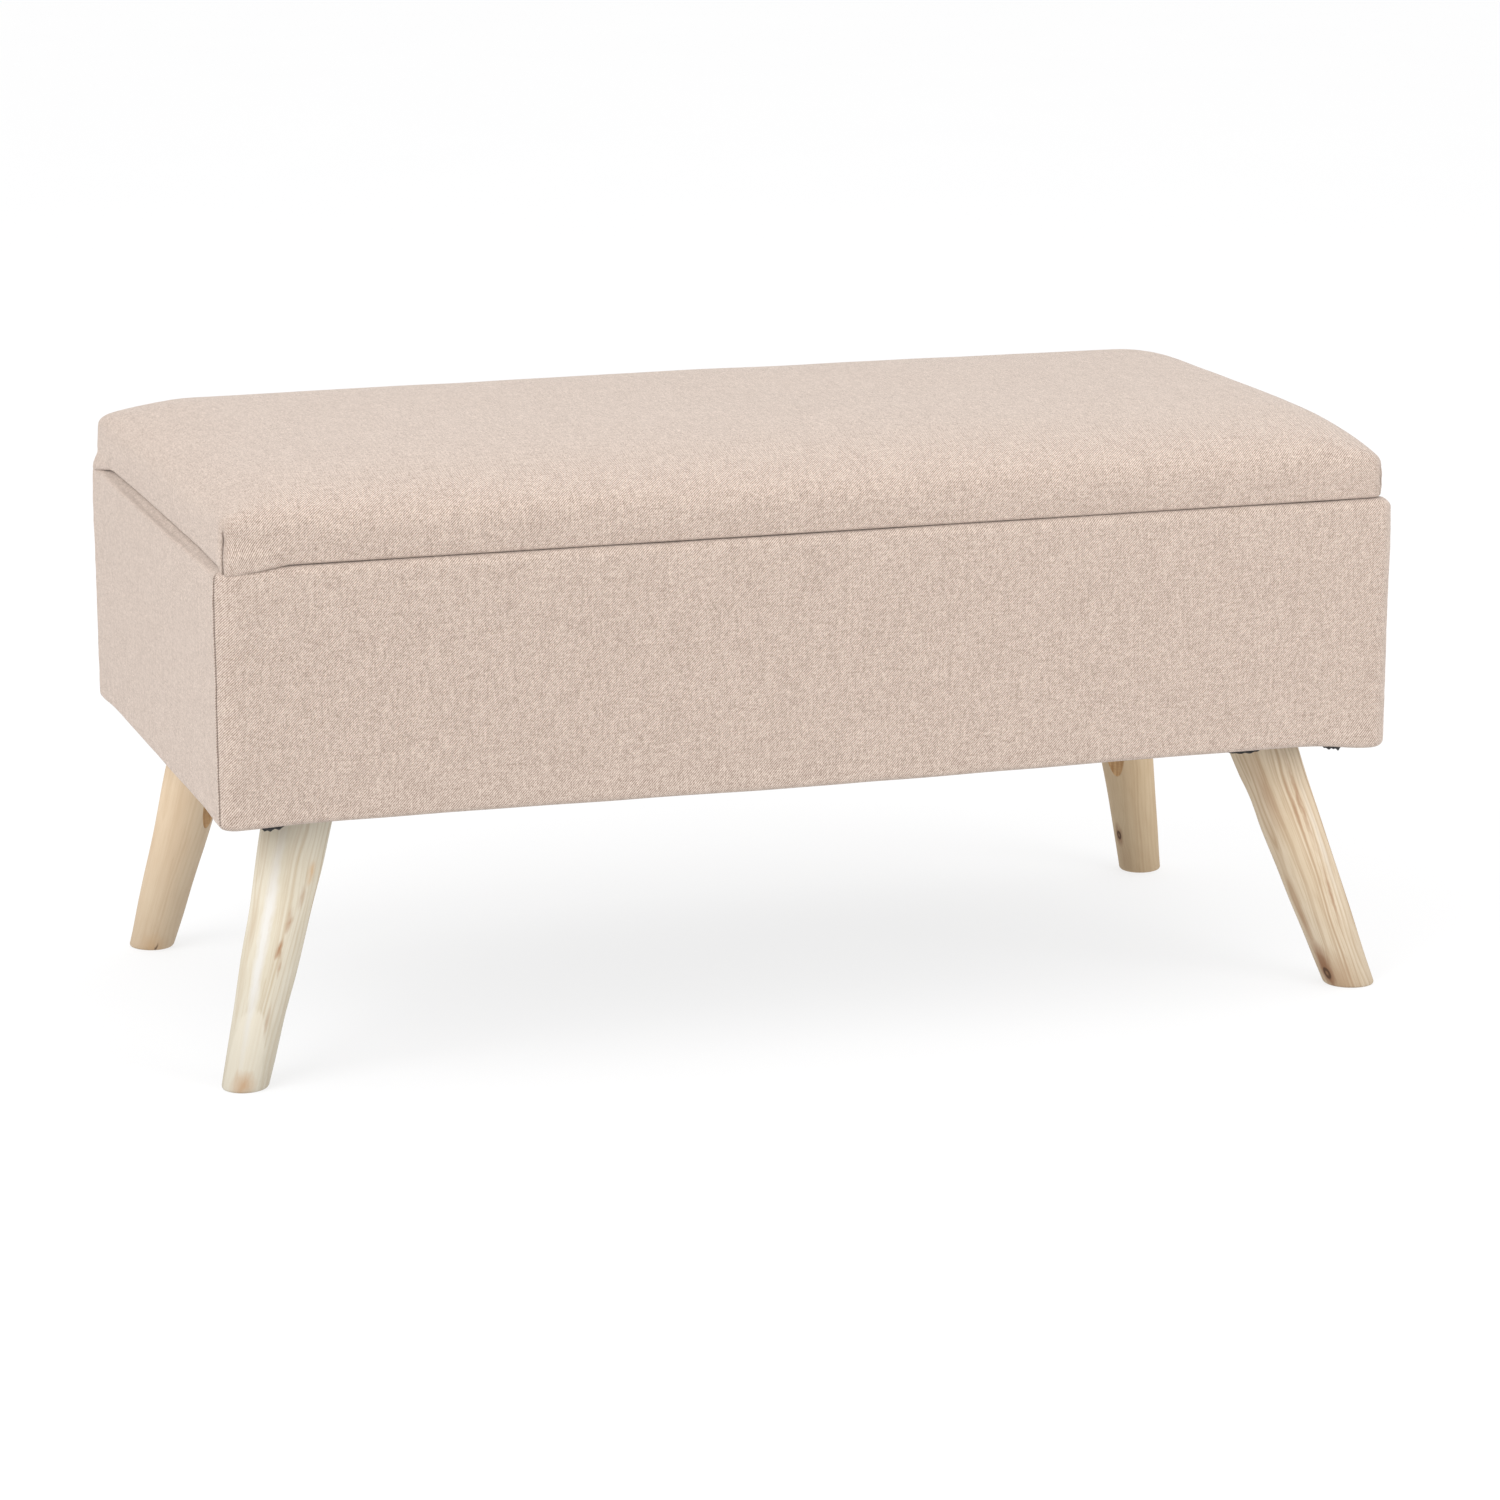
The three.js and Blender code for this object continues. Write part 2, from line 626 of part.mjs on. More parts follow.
function lidUnderside() {
  const reachX = LID_HALF_X - COVER - HEM_WIDTH - GAP;
  const reachY = LID_HALF_Y - COVER - HEM_WIDTH - GAP;
  const sheet = centredBlock(reachX, reachY, LID_LOW, LID_LOW + HEM_CLOTH);
  sheet.translate(0, LID_CENTRE_Y, 0);
  return cut(sheet, bracketScrewHoles(LID_LOW - PAST, LID_LOW + HEM_CLOTH + PAST));
}

place(lid, "lid_board", lidBoard(), BOARD_WOOD);
place(lid, "lid_foam", crownedForm(COVER + GAP, LID_BOARD_LOW + BOARD + GAP), FOAM);
place(lid, "lid_cover", lidCover(), CLOTH);
place(lid, "lid_underside_cloth", lidUnderside(), LINING_CLOTH);

// ---------------------------------------------------------------- stays
// Shoulder stud in the side panel: its head keeps the arm from sliding off.
function stayStud(side) {
  const headFace = ARM_IN - GAP;
  const [shaftLow, shaftHigh] = spanOn(side, headFace, INSIDE_X + STUD.depth);
  const [headLow, headHigh] = spanOn(side, headFace - STUD.headHeight, headFace);
  return join([
    barAlongX(STUD.radius, shaftLow, shaftHigh, STUD_AT.y, STUD_AT.z),
    barAlongX(STUD.head, headLow, headHigh, STUD_AT.y, STUD_AT.z, FINE),
  ]);
}

// Flat arm, laid out along +Y from its pivot, with a pivot hole and a slot for the stud.
function stayArm(side) {
  const half = STAY.width / 2;
  const first = spanAt(0) - STAY_SLOT_SPARE;
  const last = spanAt(LID_OPENS) + STAY_SLOT_SPARE;
  const outline = new THREE.Shape();
  outline.absarc(0, 0, half, Math.PI, 2 * Math.PI);
  outline.absarc(0, last + STAY_TIP, half, 0, Math.PI);
  const hole = new THREE.Path();
  hole.absarc(0, 0, STAY.pin + GAP, 0, 2 * Math.PI, true);
  const slot = new THREE.Path();
  slot.absarc(0, first, STAY.slot, 2 * Math.PI, Math.PI, true);
  slot.absarc(0, last, STAY.slot, Math.PI, 0, true);
  outline.holes.push(hole, slot);
  const settings = { depth: STAY.thick, bevelEnabled: false, curveSegments: HOLE_SIDES };
  const arm = new THREE.ExtrudeGeometry(outline, settings);
  const slant = Math.atan2(STUD_AT.z - PIVOT.z, STUD_AT.y - PIVOT.y);
  return arm
    .translate(0, 0, -STAY.thick / 2)
    .rotateY(Math.PI / 2)
    .rotateX(slant)
    .translate(side * ARM_X, PIVOT.y, PIVOT.z);
}

// Angle bracket under the lid, with the pivot pin and its riveted end.
function stayBracket(side) {
  const flangeHigh = LID_LOW - GAP;
  const flangeLow = flangeHigh - BRACKET.web;
  const webOut = BRACKET_X + BRACKET.web;
  const rivetIn = ARM_OUT + GAP;
  const rivetOut = rivetIn + BRACKET.rivetHeight;
  const [webLow, webHigh] = spanOn(side, BRACKET_X, webOut);
  const [flangeIn, flangeOut] = spanOn(side, BRACKET_X - BRACKET.flange, webOut);
  const [pinLow, pinHigh] = spanOn(side, BRACKET_X, rivetOut);
  const [rivetLow, rivetHigh] = spanOn(side, rivetIn, rivetOut);
  const near = STAY.width / 2;
  const { half } = BRACKET;
  const plate = join([
    block([flangeIn, PIVOT.y - half, flangeLow], [flangeOut, PIVOT.y + half, flangeHigh]),
    block([webLow, PIVOT.y - near, PIVOT.z], [webHigh, PIVOT.y + near, flangeHigh]),
    barAlongX(near, webLow, webHigh, PIVOT.y, PIVOT.z, FINE),
    barAlongX(STAY.pin, pinLow, pinHigh, PIVOT.y, PIVOT.z),
    barAlongX(BRACKET.rivet, rivetLow, rivetHigh, PIVOT.y, PIVOT.z),
  ]);
  const radius = BRACKET_SCREW.shank + GAP;
  const holes = bracketScrewsAt(side).map(({ x, y }) =>
    post(x, y, radius, flangeLow - PAST, flangeHigh + PAST),
  );
  return cut(plate, holes);
}

function bracketScrew(x, y) {
  const { head, headHeight, shank, length } = BRACKET_SCREW;
  const low = LID_LOW - GAP - BRACKET.web - GAP - headHeight;
  return turned(
    [
      [0, low],
      [SCREW_DOME.radius, low],
      [head, low + SCREW_DOME.height],
      [head, low + headHeight],
      [shank, low + headHeight],
      [shank, low + length],
      [0, low + length],
    ],
    SCREW_SIDES,
  ).translate(x, y, 0);
}

for (const { name, side } of SIDES) {
  const stay = new THREE.Group();
  bench.add(stay);
  place(base, `${name}_stay_stud`, stayStud(side), STEEL);
  place(lid, `${name}_stay_bracket`, stayBracket(side), STEEL);
  place(stay, `${name}_stay_arm`, stayArm(side), STEEL);
  bracketScrewsAt(side).forEach(({ x, y }, i) => {
    place(lid, `${name}_bracket_screw_${i + 1}`, bracketScrew(x, y), STEEL);
  });
}

export default bench;
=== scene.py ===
"""Storage bench: its looks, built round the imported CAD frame. Metres, +Z up, -Y is the front."""

import math

import bmesh
import bpy
import numpy as np
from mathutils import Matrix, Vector, noise
from mathutils.bvhtree import BVHTree


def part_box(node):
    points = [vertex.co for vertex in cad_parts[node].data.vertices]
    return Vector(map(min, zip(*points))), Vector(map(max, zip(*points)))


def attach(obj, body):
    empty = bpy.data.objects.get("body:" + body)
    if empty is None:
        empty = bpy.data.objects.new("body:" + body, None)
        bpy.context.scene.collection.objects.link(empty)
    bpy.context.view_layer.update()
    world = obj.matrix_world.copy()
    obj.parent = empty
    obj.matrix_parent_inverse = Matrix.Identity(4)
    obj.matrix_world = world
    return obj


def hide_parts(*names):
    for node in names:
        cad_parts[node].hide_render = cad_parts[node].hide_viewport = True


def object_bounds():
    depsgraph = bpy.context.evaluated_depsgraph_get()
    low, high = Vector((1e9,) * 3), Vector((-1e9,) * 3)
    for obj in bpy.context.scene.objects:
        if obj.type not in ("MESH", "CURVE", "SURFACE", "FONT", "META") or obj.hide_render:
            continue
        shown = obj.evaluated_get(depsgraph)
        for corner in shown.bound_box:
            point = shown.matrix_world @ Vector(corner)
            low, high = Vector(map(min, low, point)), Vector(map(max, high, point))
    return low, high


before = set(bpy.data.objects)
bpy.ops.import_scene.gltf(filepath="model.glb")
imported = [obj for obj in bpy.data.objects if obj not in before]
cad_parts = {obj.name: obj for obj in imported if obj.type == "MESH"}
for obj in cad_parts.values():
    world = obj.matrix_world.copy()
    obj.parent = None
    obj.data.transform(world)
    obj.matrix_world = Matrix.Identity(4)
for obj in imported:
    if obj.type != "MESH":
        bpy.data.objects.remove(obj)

CAD_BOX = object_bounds()
MM = 0.001

# The boxes of the CAD nodes that the new pieces stand for.
BODY_LOW, BODY_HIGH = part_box("body_cover")
LID_LOW, LID_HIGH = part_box("lid_cover")
LINING_LOW, LINING_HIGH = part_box("storage_lining")
PANEL_LOW, PANEL_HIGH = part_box("front_panel")


# ---- small mathematics
def ease(t):
    """0 to 1, smoothly, as t goes from 0 to 1."""
    t = np.clip(t, 0, 1)
    return t * t * (3 - 2 * t)


def bell(distance, width):
    return np.exp(-((np.asarray(distance) / width) ** 2))


def wobble(points, scale, seed=0.0):
    """Smooth noise from -1 to 1 at each point, with features of about scale metres."""
    points = np.asarray(points)
    shift = Vector((seed, 1.7 * seed, -0.6 * seed))
    values = [noise.noise(Vector(p) / scale + shift) for p in points.reshape(-1, 3)]
    return np.reshape(values, points.shape[:-1])


def distances(points):
    """How far along a line of points each one is."""
    steps = np.linalg.norm(np.diff(points, axis=0), axis=1)
    return np.concatenate([[0], np.cumsum(steps)])


# ---- mesh building
def grid_faces(rows, columns, wrap_rows=False, wrap_columns=False, first=0):
    """Quads of a grid of points that is numbered row by row from first."""
    index = np.arange(rows * columns).reshape(rows, columns) + first
    if wrap_rows:
        index = np.vstack([index, index[:1]])
    if wrap_columns:
        index = np.hstack([index, index[:, :1]])
    low, high = index[:-1], index[1:]
    quads = np.stack([low[:, :-1], low[:, 1:], high[:, 1:], high[:, :-1]], axis=-1)
    return quads.reshape(-1, 4).tolist()


def band_faces(one, other):
    """Quads between two closed loops of point numbers."""
    return np.stack([one, np.roll(one, -1), np.roll(other, -1), other], axis=1).tolist()


def cap(ring, count, first=0):
    """One face across a ring of points that are numbered as in grid_faces."""
    return list(range(first + ring * count, first + (ring + 1) * count))


def new_piece(name, points, faces, material, smooth_angle=None):
    """An object from points and faces, with its normals pointing out."""
    mesh = bpy.data.meshes.new(name)
    mesh.from_pydata(np.reshape(points, (-1, 3)).tolist(), [], faces)
    tidy = bmesh.new()
    tidy.from_mesh(mesh)
    bmesh.ops.recalc_face_normals(tidy, faces=tidy.faces)
    tidy.to_mesh(mesh)
    tidy.free()
    mesh.materials.append(material)
    piece = bpy.data.objects.new(name, mesh)
    bpy.context.scene.collection.objects.link(piece)
    if smooth_angle is None:
        mesh.shade_smooth()
    else:
        mesh.set_sharp_from_angle(angle=math.radians(smooth_angle))
    return piece


def stand_for(piece, body, node):
    """The piece rides on a body in the place of one of its CAD nodes."""
    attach(piece, body)
    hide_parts(node)


def add_attribute(piece, name, values):
    """Stores a number or a vector for each point, which materials read by its name."""
    values = np.asarray(values, np.float32).reshape(len(piece.data.vertices), -1)
    kind, key = ("FLOAT", "value") if values.shape[1] == 1 else ("FLOAT_VECTOR", "vector")
    layer = piece.data.attributes.new(name, kind, "POINT")
    layer.data.foreach_set(key, values.ravel())


def vectors_of(items, key):
    """That vector of each of a mesh's points or normals, one to a row."""
    flat = np.zeros(len(items) * 3)
    items.foreach_get(key, flat)
    return flat.reshape(-1, 3)


def points_of(mesh):
    return vectors_of(mesh.vertices, "co")


def set_points(mesh, points):
    mesh.vertices.foreach_set("co", np.asarray(points, np.float32).ravel())
    mesh.update()


def settle_modifiers(piece):
    """Applies the piece's modifiers to its mesh."""
    depsgraph = bpy.context.evaluated_depsgraph_get()
    made = bpy.data.meshes.new_from_object(piece.evaluated_get(depsgraph), depsgraph=depsgraph)
    piece.modifiers.clear()
    piece.data = made


def drill(piece, radius, depth, middle, sides, turned=0.0, lining=None):
    """Cuts a round hole, upright or turned about Y, whose wall may have its own material."""
    bpy.ops.mesh.primitive_cylinder_add(
        vertices=sides, radius=radius, depth=depth, location=middle, rotation=(0, turned, 0))
    tool = bpy.context.object
    hole = piece.modifiers.new("hole", "BOOLEAN")
    hole.object = tool
    hole.solver = "EXACT"
    if lining:
        tool.data.materials.append(lining)
        hole.material_mode = "TRANSFER"
    settle_modifiers(piece)
    bpy.data.objects.remove(tool)


# ---- materials
class Shader:
    """A Principled material whose node links are written as nested calls."""

    def __init__(self, name, **constants):
        self.material = bpy.data.materials.new(name)
        self.material.use_nodes = True
        self.tree = self.material.node_tree
        self.surface = self.tree.nodes["Principled BSDF"]
        for key, value in constants.items():
            self.surface.inputs[key.replace("_", " ")].default_value = value

    def put(self, socket, value):
        if isinstance(value, bpy.types.NodeSocket):
            self.tree.links.new(value, socket)
        else:
            socket.default_value = value

    def node(self, kind, values, output=0, **settings):
        made = self.tree.nodes.new("ShaderNode" + kind)
        for key, value in settings.items():
            setattr(made, key, value)
        for key, value in values.items():
            self.put(made.inputs[key], value)
        return made.outputs[output]

    def math(self, operation, a, b=0.0):
        return self.node("Math", {0: a, 1: b}, operation=operation)

    def attribute(self, name, output="Vector"):
        return self.node("Attribute", {}, output, attribute_name=name)

    def here(self):
        """The place in the piece's own frame."""
        return self.node("TexCoord", {}, "Object")

    def stretch(self, vector, factors, shift=(0, 0, 0)):
        return self.node("Mapping", {"Vector": vector, "Scale": factors, "Location": shift})

    def noise(self, vector, scale, detail=2.0, roughness=0.5, output=0):
        values = {"Vector": vector, "Scale": scale, "Detail": detail, "Roughness": roughness}
        return self.node("TexNoise", values, output)

    def streaks(self, vector, factors, detail=2.0, roughness=0.5, shift=(0, 0, 0), output=0):
        """Noise with about that many features a metre each way."""
        return self.noise(self.stretch(vector, factors, shift), 1.0, detail, roughness, output)

    def cells(self, vector, across, along, shift=(0, 0, 0)):
        """A random number for each cell of a grid with that many cells a metre."""
        steps = self.stretch(vector, (across, along, 1), shift)
        whole = self.node("VectorMath", {0: steps}, operation="FLOOR")
        return self.node("TexWhiteNoise", {"Vector": whole}, noise_dimensions="3D")

    def distance(self, one, other):
        return self.node("VectorMath", {0: one, 1: other}, "Value", operation="DISTANCE")

    def shaken(self, place, factors, detail, reach):
        """The place, moved at random by up to half of reach each way."""
        random = self.streaks(place, factors, detail, output="Color")
        even = self.node("VectorMath", {0: random, 1: (0.5, 0.5, 0.5)}, operation="SUBTRACT")
        return self.node("VectorMath", {0: even, 1: reach, 2: place}, operation="MULTIPLY_ADD")

    def nearness(self, place, centre, across, along, solid):
        """1 at the centre of an ellipsoid and over the solid share of it, and 0 outside it.

        Its half width and half length are in millimetres."""
        size = (across * MM, across * MM, along * MM)
        middle = [c / x for c, x in zip(centre, size)]
        away = self.distance(self.stretch(place, [1 / x for x in size]), middle)
        return self.fit(away, 1.0, solid)

    def fit(self, value, low, high, new_low=0.0, new_high=1.0):
        keys = ("Value", "From Min", "From Max", "To Min", "To Max")
        return self.node("MapRange", dict(zip(keys, (value, low, high, new_low, new_high))))

    def mix(self, factor, a, b, blend="MIX"):
        values = {0: factor, 6: a, 7: b}
        return self.node("Mix", values, 2, data_type="RGBA", blend_type=blend)

    def tinted(self, colour, value, low, high, share, tint):
        """The colour, mixed with a tint by up to share as the value goes from low to high."""
        return self.mix(self.fit(value, low, high, 0.0, share), colour, tint)

    def shaded(self, colour, grey):
        """The colour times a grey."""
        shades = self.node("CombineColor", {0: grey, 1: grey, 2: grey})
        return self.mix(1.0, colour, shades, "MULTIPLY")

    def spotted(self, colour, place, centre, across, along, tint, strength, solid):
        near = self.nearness(place, centre, across, along, solid)
        return self.mix(self.math("MULTIPLY", near, strength), colour, tint)

    def blend(self, factor, a, b):
        return self.node("Mix", {0: factor, 2: a, 3: b}, data_type="FLOAT")

    def split(self, vector):
        made = self.tree.nodes.new("ShaderNodeSeparateXYZ")
        self.put(made.inputs[0], vector)
        return made.outputs

    def bump(self, height, strength, distance):
        values = {"Height": height, "Strength": strength, "Distance": distance}
        self.put(self.surface.inputs["Normal"], self.node("Bump", values))

    def finish(self, colour, roughness):
        self.put(self.surface.inputs["Base Color"], colour)
        self.put(self.surface.inputs["Roughness"], roughness)
        return self.material


def rgb(red, green, blue):
    return (red, green, blue, 1.0)


def cover_cloth():
    """Heathered 2/1 twill. The attribute "cloth" is a point's place on the flat cloth, in
    metres, and "stitch" is 1 in a seam's groove, where painted shade darkens the colour."""
    yarn = 0.58 * MM
    s = Shader("cover_cloth", Sheen_Weight=0.22, Sheen_Roughness=0.55,
               Sheen_Tint=rgb(1.0, 0.98, 0.95))
    place = s.attribute("cloth")
    across, along, _ = s.split(s.stretch(place, (1 / yarn,) * 3))
    diagonal = s.math("SINE", s.math("MULTIPLY", s.math("ADD", across, along), math.tau / 3))
    warp_on_top = s.fit(diagonal, -0.3, 0.3)
    warp_round, weft_round = (
        s.math("ABSOLUTE", s.math("SINE", s.math("MULTIPLY", way, math.pi)))
        for way in (across, along))
    height = s.blend(warp_on_top, weft_round, warp_round)

    # A shade for each short stretch of a yarn, then clumps, slubs and faint bands over them.
    warp = s.fit(s.cells(place, 1 / yarn, 0.42 / yarn), 0, 1, 0.56, 0.96)
    weft = s.fit(s.cells(place, 0.5 / yarn, 1 / yarn, (31, 7, 0)), 0, 1, 0.0, 0.42)
    shade = s.blend(warp_on_top, weft, warp)
    clump = s.cells(place, 0.65 / yarn, 0.4 / yarn, (17, 3, 0))
    warp_slub = s.cells(place, 1 / yarn, 0.06 / yarn, (5, 2, 0))
    weft_slub = s.cells(place, 0.07 / yarn, 1 / yarn, (3, 9, 0))
    band = s.streaks(place, (230, 14, 1), 1.0, shift=(1, 8, 0))
    tone = shade
    for value, low, reach in (
            (clump, 0.0, 0.10), (warp_slub, 0.0, 0.07), (weft_slub, 0.0, 0.06), (band, 0.3, 0.015)):
        tone = s.math("ADD", tone, s.fit(value, low, 1 - low, -reach, reach))
    colour = s.mix(tone, rgb(0.225, 0.155, 0.118), rgb(0.715, 0.594, 0.512))
    # Painted shade: the colour is darker in the hollows between the yarns.
    colour = s.shaded(colour, s.fit(height, 0.0, 0.7, 0.84, 1.0))
    # Painted shade: the colour darkens in the seams' grooves, where shade falls.
    seam_darkness = s.math("MULTIPLY", s.attribute("seam_shade", "Fac"), 0.9)
    colour = s.mix(seam_darkness, colour, rgb(0.12, 0.085, 0.066))
    s.bump(s.math("ADD", height, s.math("MULTIPLY", shade, 0.5)), 0.6, 0.2 * MM)
    return s.finish(colour, s.fit(shade, 0.0, 1.0, 0.95, 0.85))


def non_woven(name, dark, light):
    """Spun-bonded cloth: random fibres with a grid of small pressed dots."""
    s = Shader(name, Sheen_Weight=0.04)
    place = s.here()
    fibres = s.noise(place, 420.0, 6.0, 0.75)
    patches = s.noise(place, 35.0, 3.0)
    dots = s.node("TexVoronoi", {"Vector": place, "Scale": 650.0, "Randomness": 0.15})
    shade = s.blend(0.25, fibres, patches)
    colour = s.mix(s.fit(shade, 0.35, 0.65), dark, light)
    s.bump(s.math("ADD", s.fit(dots, 0.15, 0.4), fibres), 0.5, 0.2 * MM)
    return s.finish(colour, s.fit(fibres, 0.3, 0.7, 0.8, 1.0))


def foam_material():
    s = Shader("foam", Subsurface_Weight=0.1)
    place = s.here()
    pores = s.node("TexVoronoi", {"Vector": place, "Scale": 900.0})
    colour = s.mix(s.fit(pores, 0.0, 0.5), rgb(0.50, 0.42, 0.24), rgb(0.80, 0.74, 0.56))
    colour = s.tinted(colour, s.noise(place, 40.0, 3.0), 0.3, 0.7, 0.3, rgb(0.72, 0.62, 0.38))
    s.bump(pores, 0.6, 0.3 * MM)
    return s.finish(colour, s.fit(pores, 0.0, 0.6, 1.0, 0.85))


def board_material():
    """Fibreboard: fine flecks on the faces, with soft bands from pressing."""
    s = Shader("board", Specular_IOR_Level=0.3)
    place = s.here()
    flecks = s.noise(place, 900.0, 4.0, 0.7)
    bands = s.streaks(place, (18, 18, 160), 3.0)
    colour = s.mix(s.fit(flecks, 0.3, 0.7), rgb(0.32, 0.20, 0.11), rgb(0.58, 0.42, 0.26))
    colour = s.tinted(colour, bands, 0.35, 0.65, 0.35, rgb(0.48, 0.33, 0.19))
    s.bump(flecks, 0.25, 0.2 * MM)
    return s.finish(colour, s.fit(flecks, 0.3, 0.7, 0.85, 0.7))


def steel_material():
    """Zinc plating: cool grey spangle with a soft, uneven gloss."""
    s = Shader("zinc_steel", Metallic=1.0)
    place = s.here()
    spangle = s.split(s.node("TexVoronoi", {"Vector": place, "Scale": 420.0}, "Color"))[0]
    film = s.noise(place, 160.0, 4.0, 0.6)
    colour = s.mix(s.fit(film, 0.3, 0.7), rgb(0.46, 0.47, 0.49), rgb(0.66, 0.66, 0.67))
    colour = s.tinted(colour, spangle, 0.0, 1.0, 0.18, rgb(0.80, 0.80, 0.78))
    s.bump(s.noise(place, 1500.0), 0.12, 0.1 * MM)
    return s.finish(colour, s.fit(film, 0.3, 0.7, 0.26, 0.44))


AMBER, BROWN = rgb(0.53, 0.35, 0.195), rgb(0.33, 0.19, 0.105)
# CHALK_AND_SHEEN is a whitish tint, for pale chalky streaks in the wood and for painted sheen on a leg.
CHALK_AND_SHEEN, DARK = rgb(0.70, 0.685, 0.65), rgb(0.085, 0.045, 0.026)
SKIN_RADIUS = 19.5 * MM


def on_skin(bearing, height):
    """A place on a leg's surface: degrees from its front towards +X, millimetres above its foot."""
    turn = math.radians(bearing)
    return SKIN_RADIUS * math.sin(turn), -SKIN_RADIUS * math.cos(turn), height * MM


def leg_wood(name, tones, figure, marks, knots=()):
    """Raw light wood, turned. The attribute "grain" is the place in the leg, with Z along it,
    and "skin" is the same with its distance from the axis made SKIN_RADIUS."""
    s = Shader(name, Specular_IOR_Level=0.15)
    place, skin = s.attribute("grain"), s.attribute("skin")
    bent = s.shaken(place, (26, 26, 7), 2.0, (20 * MM, 20 * MM, 0))
    ragged = s.shaken(skin, (260, 260, 90), 3.0, (4 * MM, 4 * MM, 14 * MM))
    pith, ring_step = (-24 * MM, -9 * MM, 0), 3.2 * MM
    from_pith = s.distance(s.stretch(bent, (1, 1, 0)), pith)
    for bearing, height, size in knots:
        near = s.nearness(skin, on_skin(bearing, height), 3.5 * size, 7 * size, 0.0)
        from_pith = s.math("ADD", from_pith, s.math("MULTIPLY", near, 6 * MM))
    rings = s.node("TexNoise", {"W": from_pith, "Scale": 1 / ring_step, "Detail": 2.0},
                   noise_dimensions="1D")
    fibres = s.streaks(place, (1000, 1000, 26), 4.0, 0.6)
    pores = s.streaks(place, (1700, 1700, 110), 2.0, 0.7, (3, 5, 1))
    blotch = s.streaks(place, (50, 50, 15), 3.0, shift=(9, 4, 2))
    pale, tan, brown = tones
    colour = s.mix(s.fit(blotch, 0.34, 0.66), pale, tan)
    colour = s.tinted(colour, rings, 0.46, 0.68, figure, brown)
    colour = s.tinted(colour, fibres, 0.5, 0.76, 0.45 * figure + 0.1, brown)
    colour = s.tinted(colour, pores, 0.62, 0.8, 0.22, rgb(0.34, 0.22, 0.12))
    for bearing, height, *mark in marks:
        colour = s.spotted(colour, ragged, on_skin(bearing, height), *mark)

    # A knot has a ragged stain, a dark heart, and a lighter core in the heart.
    stain, core = rgb(0.25, 0.13, 0.07), rgb(0.27, 0.15, 0.08)
    for bearing, height, size in knots:
        centre = on_skin(bearing, height)
        colour = s.spotted(colour, ragged, centre, 1.9 * size, 3.6 * size, stain, 0.9, 0.2)
        colour = s.spotted(colour, skin, centre, size, 1.35 * size, DARK, 0.9, 0.75)
        colour = s.spotted(colour, skin, centre, 0.45 * size, 0.6 * size, core, 0.7, 0.4)
    # Painted shade: the colour darkens towards the foot over the lowest 130 mm, and is a little lighter
    # above.
    colour = s.shaded(colour, s.fit(s.split(place)[2], 0.0, 130 * MM, 0.77, 1.05))
    relief = s.math("SUBTRACT", s.math("MULTIPLY", fibres, 0.6), s.math("MULTIPLY", pores, 0.5))
    s.bump(relief, 0.3, 0.25 * MM)
    return s.finish(colour, s.fit(fibres, 0.3, 0.7, 0.58, 0.72))


def bored_wood():
    """The rougher, darker wood inside a drilled pocket, scored round by the drill."""
    s = Shader("bored_wood", Specular_IOR_Level=0.25)
    place = s.here()
    score = s.streaks(place, (60, 60, 1400))
    fibres = s.streaks(place, (700, 700, 60), 4.0, 0.65)
    colour = s.mix(s.fit(fibres, 0.35, 0.7), rgb(0.60, 0.39, 0.20), rgb(0.36, 0.19, 0.08))
    colour = s.tinted(colour, score, 0.4, 0.7, 0.3, rgb(0.28, 0.14, 0.06))
    s.bump(s.math("ADD", score, fibres), 0.5, 0.3 * MM)
    return s.finish(colour, s.fit(fibres, 0.3, 0.7, 0.7, 0.9))


def floor_material():
    s = Shader("studio_floor", Specular_IOR_Level=0.1, Emission_Color=rgb(1, 1, 1),
               Emission_Strength=0.755)
    colour = s.mix(s.noise(s.here(), 3.0), rgb(0.20, 0.20, 0.203), rgb(0.21, 0.21, 0.21))
    return s.finish(colour, 0.9)


CLOTH = cover_cloth()
LINING_CLOTH = non_woven("lining_cloth", rgb(0.022, 0.021, 0.021), rgb(0.058, 0.055, 0.053))
DUST_CLOTH = non_woven("dust_cloth", rgb(0.010, 0.010, 0.010), rgb(0.032, 0.031, 0.031))
FOAM = foam_material()
BOARD = board_material()
STEEL = steel_material()
BORED = bored_wood()


